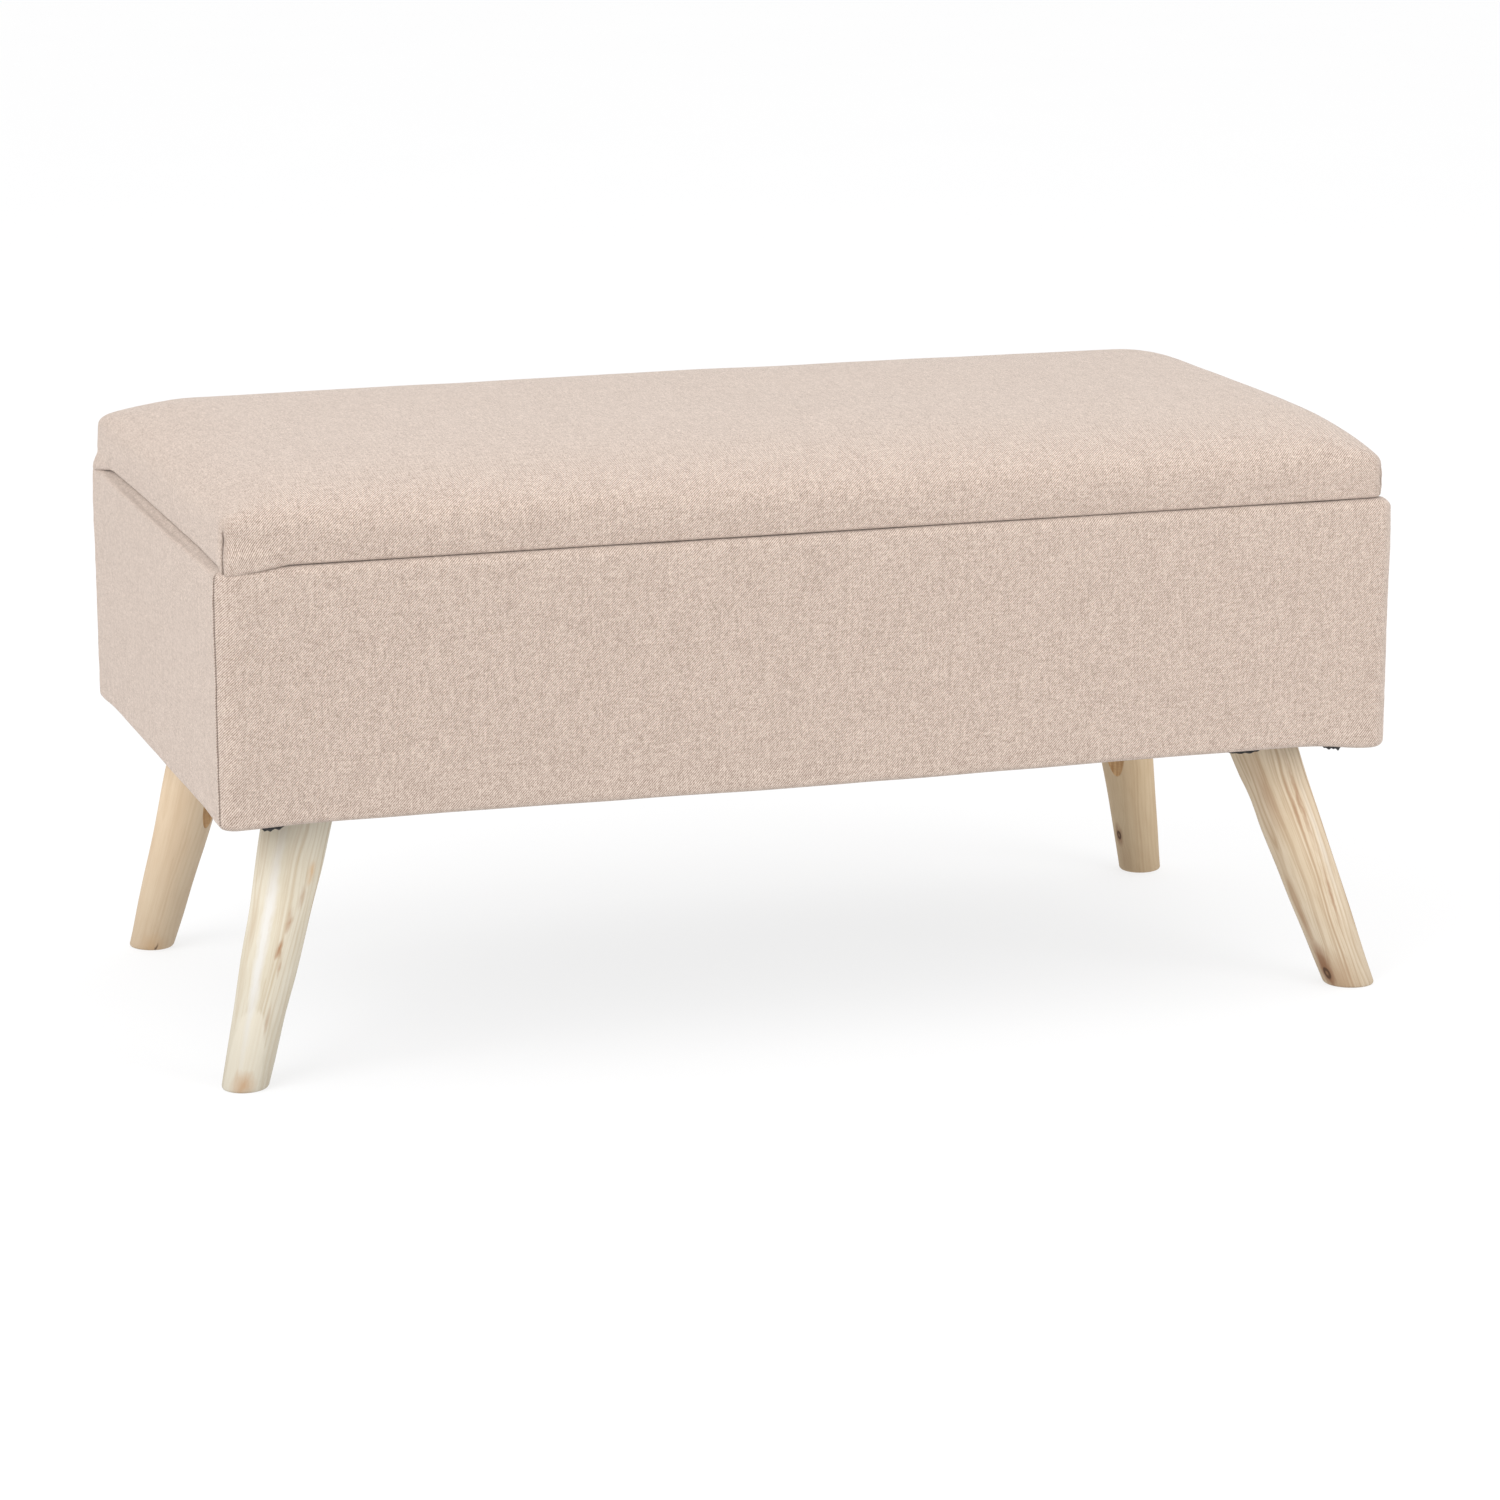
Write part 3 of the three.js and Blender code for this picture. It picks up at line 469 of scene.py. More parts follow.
# ---- rounded rectangles
class Outline:
    """Stations round a rounded rectangle, the same ones at every inset.

    A seam may run at each corner, seam_at round the arc from its middle towards the ends of
    the rectangle (-X and +X), with stations close together beside it."""

    def __init__(self, low, high, corner, steps_x, steps_y, seam_at=0.0, beside=(0.0, 3 * MM)):
        self.centre = np.array([(low[0] + high[0]) / 2, (low[1] + high[1]) / 2])
        self.half = np.array([(high[0] - low[0]) / 2, (high[1] - low[1]) / 2])
        self.corner = corner
        self.steps = (steps_x, steps_y) * 2
        arc_end = corner * math.pi / 4
        near = seam_at + np.unique([*beside, *np.negative(beside)])
        near = near[np.abs(near) < 0.94 * arc_end]
        self.arcs = []
        self.angle, self.seam_offset = [], []
        for turn, (sign, steps) in enumerate(zip((-1, 1, -1, 1), self.steps)):
            arc = np.sort(sign * np.array([-arc_end, *near, arc_end]))
            self.arcs.append(arc)
            self.angle += [*(math.pi * (0.25 + turn / 2) + arc / corner)]
            self.angle += [math.pi * (turn + 1) / 2] * (steps - 1)
            self.seam_offset += [*(sign * arc - seam_at), *([1.0] * (steps - 1))]
        self.angle = np.array(self.angle)
        self.seam_offset = np.array(self.seam_offset)
        self.length = distances(self.at(0))
        self.count = len(self.length)

    def at(self, inset):
        """Points at that inset, anticlockwise from the corner at +X +Y."""
        radius = max(self.corner - inset, 0.4 * MM)
        core = self.half - inset - radius
        bends = []
        for turn, side in enumerate(((1, 1), (-1, 1), (-1, -1), (1, -1))):
            angle = math.pi * (0.25 + turn / 2) + self.arcs[turn] / self.corner
            bends.append(side * core + radius * np.stack([np.cos(angle), np.sin(angle)], axis=1))
        points = []
        for turn, steps in enumerate(self.steps):
            start, end = bends[turn][-1], bends[(turn + 1) % 4][0]
            even = np.linspace(0, 1, steps + 1)[1:-1]
            share = 0.65 * even + 0.35 * (0.5 - 0.5 * np.cos(math.pi * even))
            points += [bends[turn], start + share[:, None] * (end - start)]
        return np.vstack(points) + self.centre

    def outward(self):
        return np.stack([np.cos(self.angle), np.sin(self.angle), 0 * self.angle], axis=1)

    def corner_distance(self):
        """How far each station is from the nearest corner of the sharp rectangle."""
        return np.linalg.norm(np.abs(self.at(0) - self.centre) - self.half, axis=1)


BESIDE_SEAM = [x * MM for x in (0.0, 0.22, 0.45, 0.7, 1.0, 1.4, 1.9, 2.6, 3.4, 4.4, 5.6, 7.0, 8.6)]


def sweep(outline, profile):
    """Rings of points for a profile of (inset, height) pairs, ring by ring."""
    return np.array([[(x, y, height) for x, y in outline.at(inset)] for inset, height in profile])


def rounded(centre, radius, start, end, steps):
    """Points of an arc in the profile's plane, without its first one."""
    turns = np.radians(np.linspace(start, end, steps + 1)[1:])
    return [(centre[0] + radius * math.cos(t), centre[1] + radius * math.sin(t)) for t in turns]


def seam_relief(offset, depth=1.0 * MM):
    """How far cloth stands out beside a sewn seam, and how deep it goes in along its stitching."""
    groove = -depth * bell(offset, 0.42 * MM)
    lips = 0.42 * depth * bell(np.abs(offset) - 1.35 * MM, 0.85 * MM)
    return groove + lips


# ---- box upholstery
BODY_CORNER = 10 * MM


def pressed_rim(outline, profile):
    """How far down the lid has pressed each point of a swept profile, at the box's two ends."""
    depth, middle, width = 4.0 * MM, 3.8 * MM, 3.2 * MM
    inset, height = np.array(profile).T[:, :, None]
    flat, outward = outline.at(0), outline.outward()
    at_end = np.clip(1 - (flat[:, 1] / outline.half[1]) ** 2, 0, 1) * (outward[:, 0] ** 2 > 0.9)
    near_top = ease((height - BODY_HIGH.z + 11 * MM) / (7 * MM))
    return depth * at_end * near_top * bell(inset - middle, width)


def body_cover():
    """Cloth round the box: rounded rim, turned in over the boards and under the box."""
    cloth, rim, hem_bend, hem = 1.5 * MM, 7 * MM, 4 * MM, 26.5 * MM
    outline = Outline(
        BODY_LOW, BODY_HIGH, BODY_CORNER, 88, 46, seam_at=4.7 * MM, beside=BESIDE_SEAM)
    low, high = BODY_LOW.z, BODY_HIGH.z
    flap = BODY_HIGH.x - LINING_HIGH.x + 1.0 * MM
    outer = [(inset, low) for inset in np.linspace(hem, hem_bend, 7)]
    outer += rounded((hem_bend, low + hem_bend), hem_bend, -90, -180, 6)
    outer += [(0.0, height) for height in np.linspace(low + hem_bend, high - rim, 40)[1:]]
    outer += rounded((rim, high - rim), rim, 180, 90, 8)
    outer += [(inset, high) for inset in np.linspace(rim, flap, 6)[1:]]
    inner = [(flap, high - cloth), (rim, high - cloth)]
    inner += rounded((rim, high - rim), rim - cloth, 90, 180, 4)
    inner += [(cloth, low + hem_bend)]
    inner += rounded((hem_bend, low + hem_bend), hem_bend - cloth, 180, 270, 4)
    inner += [(hem, low + cloth)]
    profile = outer + inner
    rings = sweep(outline, profile)
    shown = len(outer)

    # The walls swell a little, most of all below the rim, and the corners' seams draw in.
    outside = rings[:shown]
    heights = outside[:, :, 2]
    on_wall = ease((heights - low) / (6 * MM)) * ease((high - heights) / (6 * MM))
    share = np.clip((heights - low) / (high - low), 0, 1)
    swelling = 0.5 * MM * np.sin(np.pi * share) + 1.1 * MM * bell(heights - high + 28 * MM, 30 * MM)
    swelling += 0.35 * MM * wobble(outside, 90 * MM, 3)
    out = swelling * (0.75 + 0.25 * np.clip(outline.corner_distance() / (60 * MM), 0, 1))
    seam = outline.seam_offset + 0.3 * MM * wobble(outside * (0, 0, 1), 14 * MM, 8)
    sewn = outline.seam_offset < 0.5
    out += seam_relief(seam) * sewn
    out += 0.25 * MM * wobble(outside, 7 * MM, 5) * bell(seam, 6 * MM) * sewn
    outside += (out * on_wall)[..., None] * outline.outward()

    # The rim is a little uneven, and the folded cloth hangs lower at the corners below.
    on_rim = ease((heights - high + 6 * MM) / (6 * MM))
    heights += on_rim * 0.4 * MM * (wobble(outside, 55 * MM, 11) - 0.4)
    below = 1 - ease((rings[:, :, 2] - low) / (22 * MM))
    droop = 3.2 * MM + 1.0 * MM * np.sign(rings[0, :, 0])
    rings[:, :, 2] -= below * droop * bell(outline.corner_distance() - 12 * MM, 30 * MM)
    hem_wave = 0.35 * MM * wobble(rings[0] * (1, 1, 0), 38 * MM, 21) - 0.8 * MM
    hem_wave -= 1.6 * MM * bell(rings[0, :, 0], 200 * MM)
    rings[:, :, 2] += below * hem_wave

    rings[:, :, 2] -= pressed_rim(outline, profile)
    faces = grid_faces(len(profile), outline.count, wrap_rows=True, wrap_columns=True)
    piece = new_piece("box_cover", rings, faces, CLOTH)
    climb = distances(profile)
    place = np.zeros(rings.shape)
    place[..., 0] = outline.length
    place[..., 1] = -climb[:, None]
    # Painted shade in the corner seams' grooves, kept for the cloth's colour.
    seam_shade = np.zeros(rings.shape[:2])
    seam_shade[:shown] = bell(seam, 0.8 * MM) * sewn * on_wall
    add_attribute(piece, "cloth", place)
    add_attribute(piece, "seam_shade", seam_shade)
    stand_for(piece, "base", "body_cover")


def box_padding():
    """Foam sheets glued round the box, one soft ring with rounded edges."""
    outline = Outline(BODY_LOW, BODY_HIGH, BODY_CORNER, 60, 32)
    low, high, soft, shoulder = PANEL_LOW.z, PANEL_HIGH.z, 1.6 * MM, 4 * MM
    outer, inner = 1.8 * MM, PANEL_LOW.y - BODY_LOW.y - 0.6 * MM
    shoulder_z = high - 4.6 * MM
    profile = [(outer, height) for height in np.linspace(low + soft, shoulder_z, 12)]
    profile += rounded((outer + shoulder, shoulder_z), shoulder, 180, 100, 5)
    profile += [(inner, high - soft), (inner, low + soft)]
    profile += rounded((inner - soft, low + soft), soft, 0, -90, 3)
    profile += rounded((outer + soft, low + soft), soft, -90, -160, 3)
    rings = sweep(outline, profile)
    rings[:, :, 2] -= pressed_rim(outline, profile)
    faces = grid_faces(len(profile), outline.count, wrap_rows=True, wrap_columns=True)
    piece = new_piece("body_padding_sheets", rings, faces, FOAM)
    stand_for(piece, "base", "body_padding")


def storage_lining():
    """The lining: walls pulled flat, soft at the floor's edges, folded over at its top."""
    cloth, bend = 1 * MM, 4 * MM
    outline = Outline(LINING_LOW, LINING_HIGH, 3 * MM, 70, 36)
    low, high = LINING_LOW.z, LINING_HIGH.z
    reach = outline.half.min() - 2 * MM
    inner = [(cloth, height) for height in np.linspace(high - cloth, low + cloth + bend, 22)]
    inner += rounded((cloth + bend, low + cloth + bend), bend, 180, 270, 5)
    inner += [(inset, low + cloth) for inset in np.linspace(cloth + bend, reach, 16)[1:]]
    outer = [(inset, low) for inset in np.linspace(reach, bend, 3)]
    outer += rounded((bend, low + bend), bend, 270, 180, 3)
    outer += [(0.0, high - 0.5 * MM), (0.3 * MM, high)]
    rings = sweep(outline, inner + outer)
    shown = len(inner)
    inside = rings[:shown]
    heights = inside[:, :, 2].copy()
    ripple = np.abs(wobble(inside, 60 * MM, 14) + 0.6 * wobble(inside, 24 * MM, 15))
    upright = ease((high - heights) / (25 * MM)) * ease((heights - low) / (12 * MM))
    inside -= (0.5 * MM * ripple * upright)[..., None] * outline.outward()
    inside[:, :, 2] += 0.65 * MM * ripple * ease((20 * MM - heights + low) / (20 * MM))

    count = outline.count
    faces = grid_faces(shown, count, wrap_columns=True)
    faces += grid_faces(len(outer), count, wrap_columns=True, first=shown * count)
    top = np.arange(count)
    faces += band_faces(top, top + (len(rings) - 1) * count)
    faces += [cap(ring, count) for ring in (shown - 1, shown)]
    piece = new_piece("lining", rings, faces, LINING_CLOTH)

    # Round holes where the stays' studs pass through.
    for side in ("left", "right"):
        stud_low, stud_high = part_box(f"{side}_stay_stud")
        middle = (stud_low + stud_high) / 2
        drill(piece, 3.6 * MM, 30 * MM, middle, sides=24, turned=math.pi / 2)
    piece.data.shade_smooth()
    stand_for(piece, "base", "storage_lining")


def closed_sheet(one, other, rows, columns):
    """Points and faces of a closed body between two grids of points."""
    count = rows * columns
    row, column = border_of(rows, columns)
    loop = row * columns + column
    faces = grid_faces(rows, columns) + grid_faces(rows, columns, first=count)
    return np.vstack([one, other]), faces + band_faces(loop, loop + count)


def flat_cloth(name, node, material, body, lift, droop, seed, hanging_pieces=()):
    """A thin cloth stapled flat: its edge is folded in, and it sags between its staples."""
    low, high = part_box(node)
    spread, thickness = 5 * MM, 0.6 * MM
    xs = np.linspace(low.x - spread, high.x + spread, 150)
    ys = np.linspace(low.y - spread, high.y + spread, 80)
    grid = np.array([[x, y, 0.0] for y in ys for x in xs])
    x, y, _ = grid.T
    edge = np.min([x - xs[0], xs[-1] - x, y - ys[0], ys[-1] - y], axis=0)
    hang = ease(edge / (40 * MM))
    waves = wobble(grid, 70 * MM, seed) + 0.5 * wobble(grid, 26 * MM, seed + 4)
    face = low.z - lift - droop * hang * (0.6 + 0.4 * waves) + 0.25 * MM * waves * (1 - hang)
    face -= 0.5 * MM * bell(edge - 3 * MM, 3 * MM)
    lower = grid + np.outer(face, (0, 0, 1))
    points, faces = closed_sheet(lower, lower + (0, 0, thickness), len(ys), len(xs))
    piece = new_piece(name, points, faces, material)
    stand_for(piece, body, node)


# The torn ends of the dust cloth below the front hem, the last a strip of painted shadow: x, width and
# depth, in millimetres.
SCRAPS_AND_SHADOW_STRIP = ((-368, 21, 4.2), (363, 19, 4.8), (297, 24, 2.4))


def scraps_and_shadow_strip():
    """The torn ends, and a dark strip of painted shadow: short folded strips that hang behind the front
    hem.
    """
    edge_y, top_z = BODY_LOW.y + 4.5 * MM, BODY_LOW.z - 0.5 * MM
    share, level = np.meshgrid(np.linspace(0, 1, 28), np.linspace(0, 1, 4))
    made = []
    for number, (x, width, depth) in enumerate(SCRAPS_AND_SHADOW_STRIP):
        own = 0 * share + number
        torn = 0.85 + 0.5 * wobble(np.stack([7 * share, 5 * own, 0 * own + 0.3], axis=-1), 1.0)
        fold = 0.8 * MM * wobble(np.stack([5 * share, 3 * own, 2 * level], axis=-1), 1.0)
        fall = depth * MM * level * np.sin(math.pi * share) ** 0.5 * torn
        front = np.stack([
            (x + (share - 0.5) * width) * MM, edge_y + fold - 1.5 * MM * level, top_z - fall],
            axis=-1).reshape(-1, 3)
        points, faces = closed_sheet(front, front + (0, 0.6 * MM, 0.2 * MM), *share.shape)
        piece = new_piece(f"under_cloth_strip_{number + 1}", points, faces, DUST_CLOTH)
        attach(piece, "base")
        made.append(piece)
    return made


def staples(name, node, height, body):
    """Wire staples round the edge of a cloth, their crowns lying along the edge."""
    low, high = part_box(node)
    wire, crown, inset, from_end, spacing = 0.55 * MM, 10 * MM, 3 * MM, 20 * MM, 42 * MM
    across = np.linspace(low.x + from_end, high.x - from_end, round((high.x - low.x) / spacing))
    along = np.linspace(low.y + from_end, high.y - from_end, round((high.y - low.y) / spacing))
    places = [(x, y, 0.0) for x in across for y in (low.y + inset, high.y - inset)]
    places += [(x, y, math.pi / 2) for y in along for x in (low.x + inset, high.x - inset)]
    path = [(-1.0, 1.6 * MM), (-1.0, 0.2 * MM), (-0.9, 0), (0.9, 0), (1.0, 0.2 * MM), (1.0, 1.6 * MM)]
    points, faces = [], []
    for number, (x, y, turn) in enumerate(places):
        slant = turn + 0.16 * math.sin(7.3 * number)
        direction = np.array([math.cos(slant), math.sin(slant), 0.0])
        sideways = np.array([-direction[1], direction[0], 0.0])
        faces += grid_faces(len(path), 4, wrap_columns=True, first=len(points))
        faces += [cap(ring, 4, len(points)) for ring in (0, len(path) - 1)]
        for share, lift in path:
            spot = direction * share * crown / 2 + (x, y, height + lift)
            upwards = np.array([0.0, 0.0, 1.0]) if abs(share) < 0.95 else direction
            points += [spot + wire / 2 * (a * sideways + b * upwards)
                       for a, b in ((1, 1), (-1, 1), (-1, -1), (1, -1))]
    piece = new_piece(name, points, faces, STEEL, smooth_angle=1)
    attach(piece, body)


# ---- lid cushion
LID_CORNER = 7.5 * MM
LID_CENTRE = np.array((LID_LOW + LID_HIGH) / 2)
LID_HALF = np.array((LID_HIGH - LID_LOW) / 2)
LID_UNDER = LID_LOW.z
SIDE_TOP = LID_UNDER + 20 * MM        # where the crown begins, midway along a side
CORNER_RISE = 6.5 * MM                # how much higher that is at a corner
CORNER_FALL = 4 * MM                  # how far its edge is rounded down there
CORNER_ROUND = 9 * MM                 # how far in the rounding reaches
CORNER_REACH = 46 * MM                # how far from a corner that dies out
CROWN_TOP = LID_HIGH.z - 1.3 * MM
CROWN_RUN = (59 * MM, 90 * MM)        # how far in from an end and a side the crown is level


def crown_height(from_end, from_side, fullness=1.0):
    """Height of the lid's top at a distance from its nearest end and its nearest long side."""
    rise = fullness
    for distance, run in zip((from_end, from_side), CROWN_RUN):
        rise = rise * np.sqrt(np.clip(1 - (1 - np.clip(distance / run, 0, 1)) ** 2, 0, 1))
    from_edge = np.clip(np.minimum(from_end, from_side) / CORNER_ROUND, 0, 1)
    corner = CORNER_RISE - CORNER_FALL * (1 - np.sqrt(1 - (1 - from_edge) ** 2))
    side = SIDE_TOP + corner * bell(from_end, CORNER_REACH) * bell(from_side, CORNER_REACH)
    return side + (CROWN_TOP - side) * rise


def lid_stations(half, run):
    """Distances across the lid, close together at its corners and round the crown's shoulders."""
    corner = [LID_CORNER * share for share in (0, 0.06, 0.14, 0.24, 0.36, 0.5, 0.66, 0.83, 1)]
    shoulder = [LID_CORNER + (run - LID_CORNER) * (1 - math.cos(math.radians(t))) for t in range(9, 91, 9)]
    level = np.linspace(run, half, round((half - run) / (9 * MM)) + 1)[1:]
    one = np.array([*corner, *shoulder, *level]) - half
    return np.concatenate([one, -one[-2::-1]])


def rounded_corners(x, y):
    """Draws each corner square of a grid in to a quarter disc."""
    over_x = np.abs(x) - (LID_HALF[0] - LID_CORNER)
    over_y = np.abs(y) - (LID_HALF[1] - LID_CORNER)
    in_corner = (over_x > 0) & (over_y > 0)
    shrink = np.maximum(over_x, over_y) / np.maximum(np.hypot(over_x, over_y), 1e-9)
    new_x = np.sign(x) * (LID_HALF[0] - LID_CORNER + over_x * shrink)
    new_y = np.sign(y) * (LID_HALF[1] - LID_CORNER + over_y * shrink)
    return np.where(in_corner, new_x, x), np.where(in_corner, new_y, y)


def border_of(rows, columns):
    """The row and column of each point round the edge of a grid."""
    border = [(0, i) for i in range(columns)]
    border += [(j, columns - 1) for j in range(1, rows)]
    border += [(rows - 1, i) for i in range(columns - 2, -1, -1)]
    border += [(j, 0) for j in range(rows - 2, 0, -1)]
    return np.array(border).T


def surface_length(stations, heights):
    """Distance along a profile, measured on its surface from its middle."""
    length = distances(np.column_stack([stations, heights]))
    return length - length[-1] / 2


def lid_surface(fullness=1.0):
    """Points, faces, cloth places and painted seam shade of the lid's closed cushion form."""
    xs, ys = lid_stations(LID_HALF[0], CROWN_RUN[0]), lid_stations(LID_HALF[1], CROWN_RUN[1])
    grid_x, grid_y = np.meshgrid(xs, ys)
    heights = crown_height(LID_HALF[0] - np.abs(grid_x), LID_HALF[1] - np.abs(grid_y), fullness)
    top_x, top_y = rounded_corners(grid_x, grid_y)
    top = np.stack([top_x, top_y, heights], axis=-1)
    flat_x = surface_length(xs, crown_height(LID_HALF[0] - np.abs(xs), LID_HALF[1]))
    flat_y = surface_length(ys, crown_height(LID_HALF[0], LID_HALF[1] - np.abs(ys)))
    top_place = np.stack([*np.meshgrid(flat_x, -flat_y), 0 * heights], axis=-1)

    rows, columns = heights.shape
    border = border_of(rows, columns)
    rim, rim_place = top[tuple(border)], top_place[tuple(border)]
    count = len(rim)
    core = LID_HALF[:2] - LID_CORNER
    outward = rim[:, :2] - np.clip(rim[:, :2], -core, core)
    outward /= np.linalg.norm(outward, axis=1)[:, None]
    turn = np.arctan2(np.abs(outward[:, 1]), np.abs(outward[:, 0])) - math.pi / 4
    sewn = np.abs(turn) < math.pi / 4 - 1e-6
    at_end = turn < 0

    # The wall below the rim, then the hem: (inset, share of the wall, height under the bend).
    bend, hem = 2.2 * MM, 30 * MM
    hanging = 1.7 * MM + 0.9 * MM * ease(-2 * outward[:, 1] - 0.8)
    hanging += 0.3 * MM * ease(2 * np.abs(outward[:, 0]) - 0.8)
    wall_low = LID_UNDER + bend - hanging
    wall = rim[:, 2] - wall_low
    path = [(0.0, share, 0.0) for share in np.linspace(1, 0, 20)[1:]]
    path += [(inset, 0.0, lowered) for inset, lowered in rounded((bend, 0.0), bend, 180, 270, 6)]
    path += [(inset, 0.0, -bend + 2.4 * MM * ease((inset - bend) / (6 * MM)))
             for inset in (3.5 * MM, 5 * MM, 7 * MM, 10 * MM, 16 * MM, 23 * MM, hem)]
    rings, places, seam_shades = [], [], []
    for inset, share, lowered in path:
        height = wall_low + share * wall + lowered
        spot = np.column_stack([rim[:, :2] - outward * inset, height])
        upright = ease((height - LID_UNDER) / (4 * MM))
        way = spot * (0, 0, 1) + np.sign(rim) * (1, 1, 0)
        seam = turn * LID_CORNER + 1.5 * MM * wobble(way, 8 * MM, 31) * upright
        ending = ease((rim[:, 2] - 0.3 * MM - height) / (2.5 * MM)) * sewn
        out = 0.5 * MM * np.sin(np.pi * share) + 0 * height
        if inset < 1 * MM:
            out += seam_relief(seam, 0.9 * MM) * ending
            out += 0.3 * MM * wobble(spot, 6 * MM, 33) * bell(seam, 5 * MM) * sewn
        spot[:, :2] += outward * out[:, None]
        rings.append(spot)
        dropped = (1 - share) * wall + inset - lowered
        place = rim_place.copy()
        place[:, 0] += np.where(at_end, np.sign(outward[:, 0]) * dropped, 0)
        place[:, 1] += np.where(at_end, 0, -np.sign(outward[:, 1]) * dropped)
        places.append(place)
        # Painted shade in the corner seams' grooves, kept for the cloth's colour.
        seam_shades.append(bell(seam, 0.45 * MM) * ending * (inset < 2 * MM))

    start = rows * columns
    faces = grid_faces(rows, columns)
    faces += band_faces(border[0] * columns + border[1], start + np.arange(count))
    faces += grid_faces(len(rings), count, wrap_columns=True, first=start)
    faces.append(cap(len(rings) - 1, count, start))
    points = np.vstack([top.reshape(-1, 3), *rings])
    points[:, :2] += LID_CENTRE[:2]
    cloth = np.vstack([top_place.reshape(-1, 3), *places])
    seam_shade = np.concatenate([np.zeros(rows * columns), *seam_shades])
    return points, faces, cloth, seam_shade


def inflated():
    """A flatter cushion, its cloth blown out by a cloth simulation: a tree of its surface."""
    points, faces, _, _ = lid_surface(fullness=0.97)
    start = new_piece("inflating", points, faces, CLOTH)
    bpy.context.view_layer.objects.active = start
    start.select_set(True)
    start.data.remesh_voxel_size = 6 * MM
    bpy.ops.object.voxel_remesh()
    held = start.vertex_groups.new(name="held")
    low = [vertex.index for vertex in start.data.vertices if vertex.co.z < LID_UNDER + 5 * MM]
    held.add(low, 1.0, "REPLACE")
    cloth = start.modifiers.new("cloth", "CLOTH").settings
    fabric = {
        "vertex_group_mass": "held", "use_pressure": True, "uniform_pressure_force": 0.25,
        "quality": 5, "tension_stiffness": 25, "compression_stiffness": 25,
        "shear_stiffness": 8, "bending_stiffness": 5}
    for key, value in fabric.items():
        setattr(cloth, key, value)
    cloth.effector_weights.gravity = 0
    scene, last_frame = bpy.context.scene, 20
    for number in range(1, last_frame + 1):
        scene.frame_set(number)
    settle_modifiers(start)
    tree = BVHTree.FromPolygons(
        points_of(start.data).tolist(), [tuple(face.vertices) for face in start.data.polygons])
    bpy.data.objects.remove(start)
    scene.frame_set(1)
    return tree


def smoothed(mesh, values, times):
    """Each point's value, averaged with its neighbours'."""
    edges = np.zeros(len(mesh.edges) * 2, int)
    mesh.edges.foreach_get("vertices", edges)
    first, second = edges.reshape(-1, 2).T
    size = len(values)
    number = np.bincount(first, minlength=size) + np.bincount(second, minlength=size)
    for _ in range(times):
        total = np.bincount(first, values[second], size) + np.bincount(second, values[first], size)
        values = 0.5 * values + 0.5 * total / np.maximum(number, 1)
    return values


def corner_distance(points):
    """How far each point is, seen from above, from the nearest corner of the lid."""
    return np.linalg.norm(np.abs(points[:, :2] - LID_CENTRE[:2]) - LID_HALF[:2], axis=1)


def swell(piece, tree):
    """Moves the cushion's top and sides to the inflated form, apart from its sewn corners."""
    most, far = 6 * MM, 30 * MM
    points, normals = points_of(piece.data), vectors_of(piece.data.vertex_normals, "vector")
    move = np.zeros(len(points))
    for i, (point, normal) in enumerate(zip(points, normals)):
        hit, _, _, distance = tree.ray_cast(Vector(point + normal * far), Vector(-normal), 2 * far)
        if hit is not None:
            move[i] = far - distance
    free = ease((corner_distance(points) - 10 * MM) / (40 * MM))
    free *= ease((points[:, 2] - LID_UNDER - 3 * MM) / (12 * MM))
    move = smoothed(piece.data, np.clip(move, -most, most) * free, 4)
    set_points(piece.data, points + move[:, None] * normals)


def loosen_cloth(piece):
    """Signs of handwork: a soft unevenness of the top, and cloth that hangs at some corners."""
    points = points_of(piece.data)
    top = ease((points[:, 2] - SIDE_TOP) / (14 * MM))
    points[:, 2] += top * 0.7 * MM * (wobble(points, 130 * MM, 41) + 0.35 * wobble(points, 45 * MM, 42))
    flat = points[:, :2] - LID_CENTRE[:2]
    from_left, from_front = (LID_HALF[:2] + flat).T
    from_right, from_back = (LID_HALF[:2] - flat).T
    low = 1 - ease((points[:, 2] - LID_UNDER) / (16 * MM))

    # The crown is fuller near its right end and falls away to the front corner there.
    fuller = bell(from_right - 35 * MM, 28 * MM) * bell(flat[:, 1] + 50 * MM, 110 * MM)
    points[:, 2] += 3.0 * MM * fuller * top
    corner = bell(np.hypot(from_right, from_front), 34 * MM)
    points[:, 2] -= 3.5 * MM * corner * ease((points[:, 2] - LID_UNDER) / (20 * MM))

    # At the front left corner the front's lower edge hangs in a straight slope.
    on_front, on_end = (1 - ease((away - 1 * MM) / (6 * MM)) for away in (from_front, from_left))
    slope = np.clip(1 - from_left / (44 * MM), 0, 1) * low * on_front
    points[:, 2] -= 5.6 * MM * slope
    points[:, 1] -= 3.4 * MM * ease(slope / 0.5)
    points[:, 0] -= 1.6 * MM * on_end * low * np.clip(1 - from_front / (70 * MM), 0, 1)

    # At the back left corner the cloth stands out, and its pleat hangs over the rim of the box.
    pleat = np.clip(1 - from_back / (46 * MM), 0, 1) * (1 - ease((from_left - 1 * MM) / (8 * MM)))
    points[:, 0] -= 1.8 * MM * bell(np.hypot(from_left, from_back), 90 * MM)
    points[:, 0] -= (5 * low ** 2 - 1.6 * bell(points[:, 2] - LID_UNDER - 6 * MM, 2.5 * MM)) * MM * pleat
    points[:, 2] -= 7.5 * MM * pleat * low ** 3
    points[:, 0] -= 1.0 * MM * ease(np.abs(flat[:, 0]) / LID_HALF[0])
    set_points(piece.data, points)


def lid_cushion():
    points, faces, cloth, seam_shade = lid_surface()
    piece = new_piece("lid_cushion", points, faces, CLOTH)
    add_attribute(piece, "cloth", cloth)
    # The painted seam shade goes to the cloth's colour.
    add_attribute(piece, "seam_shade", seam_shade)
    swell(piece, inflated())
    loosen_cloth(piece)
    stand_for(piece, "lid", "lid_cover")


